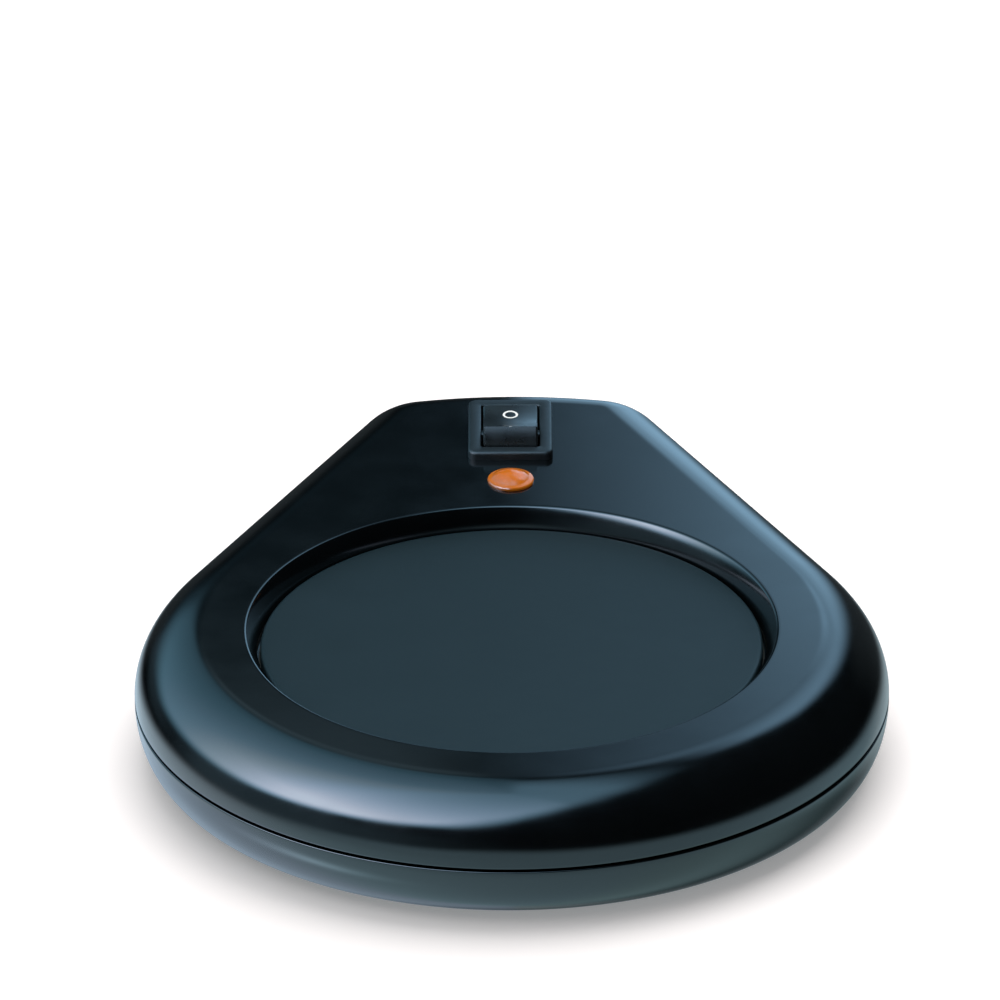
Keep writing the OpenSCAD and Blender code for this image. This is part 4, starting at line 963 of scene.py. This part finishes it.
class WARMER_OT_stage(bpy.types.Operator):
    """Makes the floor, the soft lights, the dome that gloss mirrors, the world and the camera"""

    bl_idname = "warmer.stage"
    bl_label = "Stage"

    def execute(self, context):
        scene = context.scene
        scene.view_settings.view_transform = "Standard"

        # Floor: a pale disc, clear from below, so that the underside can be looked at
        ring, disc = turned([(FLOOR_R, 0)], count=96)[0], Shell()
        disc.add(ring, [np.arange(len(ring))])
        floor = disc.build("stage_floor")
        material, tree = new_material("card stock matt pale")
        seen = seen_by(tree, "Is Camera Ray", "Is Glossy Ray")
        lift = add_node(tree, "ShaderNodeMath", {0: seen, 1: FLOOR_GLOW}, operation="MULTIPLY")[0]
        pale = (*linear("#f6f1f0"), 1)
        diffuse = add_node(tree, "ShaderNodeBsdfDiffuse", {"Color": pale})[0]
        white = (1, 1, 1, 1)
        glow = add_node(tree, "ShaderNodeEmission", {"Color": white, "Strength": lift})[0]
        lit = add_node(tree, "ShaderNodeAddShader", {0: diffuse, 1: glow})[0]
        clear = add_node(tree, "ShaderNodeBsdfTransparent")[0]
        back = add_node(tree, "ShaderNodeNewGeometry")["Backfacing"]
        either = add_node(tree, "ShaderNodeMixShader", {0: back, 1: lit, 2: clear})[0]
        close_material(tree, either)
        floor.data.materials.append(material)
        floor.visible_glossy = False

        # Dome that only mirrored rays meet: a sphere with its light in an attribute
        azimuth, height = np.meshgrid(
            np.linspace(-180, 180, DOME_COLS, endpoint=False), np.linspace(-90, 90, DOME_ROWS)
        )
        a, e = np.radians(azimuth), np.radians(height)
        ball = stacked(np.sin(a) * np.cos(e), -np.cos(a) * np.cos(e), np.sin(e))
        sphere = Shell().loft(DOME_R * ball)
        mesh = bpy.data.meshes.new("stage_dome")
        mesh.from_pydata((sphere.points[0] * MM).tolist(), [], sphere.faces)
        light = mesh.attributes.new("Glow", "FLOAT_COLOR", "POINT")
        values = np.ones((azimuth.size, 4), np.float32)
        values[:, :3] = studio_glow(azimuth, height).reshape(-1, 3)
        light.data.foreach_set("color", values.ravel())
        dome = bpy.data.objects.new("stage_dome", mesh)
        scene.collection.objects.link(dome)
        material, tree = new_material("soft light panels")
        paint = add_node(tree, "ShaderNodeAttribute", attribute_name="Glow")["Color"]
        glow = add_node(tree, "ShaderNodeEmission", {"Color": paint, "Strength": 1.0})[0]
        close_material(tree, glow)
        mesh.materials.append(material)
        for ray in ("camera", "diffuse", "transmission", "volume_scatter", "shadow"):
            setattr(dome, "visible_" + ray, False)

        # Soft lights that light the floor and the matt pieces; gloss sees the dome instead
        for name, spot, side, power in LAMPS:
            lamp = bpy.data.lights.new("stage_" + name, "AREA")
            lamp.shape, lamp.size, lamp.energy = "SQUARE", side * MM, power
            holder = bpy.data.objects.new("stage_" + name, lamp)
            holder.location = Vector(spot) * MM
            holder.rotation_euler = (-holder.location).to_track_quat("-Z", "Y").to_euler()
            holder.visible_glossy = False
            scene.collection.objects.link(holder)

        # World: white where it is seen, plain grey where it lights
        world = bpy.data.worlds.new("stage_world")
        world.use_nodes = True
        scene.world = world
        tree = world.node_tree
        tree.nodes.clear()
        seen = seen_by(tree, "Is Camera Ray", "Is Glossy Ray", "Is Transmission Ray")
        span = {"Value": seen, "To Min": WORLD_LIGHT, "To Max": WORLD_SEEN}
        strength = add_node(tree, "ShaderNodeMapRange", span)[0]
        sky = add_node(tree, "ShaderNodeBackground", {"Color": white, "Strength": strength})[0]
        add_node(tree, "ShaderNodeOutputWorld", {"Surface": sky})

        # Camera: aimed near the middle of the part, then turned so that the plate sits below it
        up = radians(CAMERA_UP)
        target = Vector((0, 0, AIM_Z * MM))
        spot = target + AWAY * MM * Vector((0, -cos(up), sin(up)))
        camera = bpy.data.cameras.new("stage_camera")
        camera.sensor_fit, camera.sensor_width, camera.lens = "HORIZONTAL", SENSOR, FOCAL
        camera.clip_start, camera.clip_end = 0.1, 20.0
        holder = bpy.data.objects.new("stage_camera", camera)
        aim = (target - spot).to_track_quat("-Z", "Y").to_matrix().to_4x4()
        for angle, axis in zip(CAMERA_TURNS, "XYZ"):
            aim = aim @ Matrix.Rotation(radians(angle), 4, axis)
        holder.matrix_world = Matrix.Translation(spot) @ aim
        scene.collection.objects.link(holder)
        scene.camera = holder
        return {"FINISHED"}


# ---- Panel and running ----

OPERATORS = (
    WARMER_OT_upper_housing, WARMER_OT_lower_housing, WARMER_OT_warming_plate, WARMER_OT_switch,
    WARMER_OT_pilot_lens, WARMER_OT_grommet, WARMER_OT_feet, WARMER_OT_inner_pieces, WARMER_OT_stage,
)


class WARMER_PT_build(bpy.types.Panel):
    """Lists the sizes, the colours and the operators"""

    bl_idname = "WARMER_PT_build"
    bl_label = "Mug Warmer"
    bl_space_type = "VIEW_3D"
    bl_region_type = "UI"
    bl_category = "Mug Warmer"

    def draw(self, context):
        for group in (context.scene.warmer_sizes, context.scene.warmer_colours):
            box = self.layout.box()
            for name in group.__annotations__:
                box.prop(group, name)
        for operator in OPERATORS:
            self.layout.operator(operator.bl_idname)


CLASSES = (WarmerSizes, WarmerColours, *OPERATORS, WARMER_PT_build)


def register():
    """Registers the classes and puts the sizes and colours on the scene."""
    for item in CLASSES:
        bpy.utils.register_class(item)
    bpy.types.Scene.warmer_sizes = bpy.props.PointerProperty(type=WarmerSizes)
    bpy.types.Scene.warmer_colours = bpy.props.PointerProperty(type=WarmerColours)


def unregister():
    """Takes the sizes and colours off the scene and unregisters the classes."""
    del bpy.types.Scene.warmer_colours
    del bpy.types.Scene.warmer_sizes
    for item in reversed(CLASSES):
        bpy.utils.unregister_class(item)


def main():
    """Registers the add-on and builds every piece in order."""
    register()
    for operator in OPERATORS:
        group, name = operator.bl_idname.split(".")
        getattr(getattr(bpy.ops, group), name)()


if __name__ == "__main__":
    main()
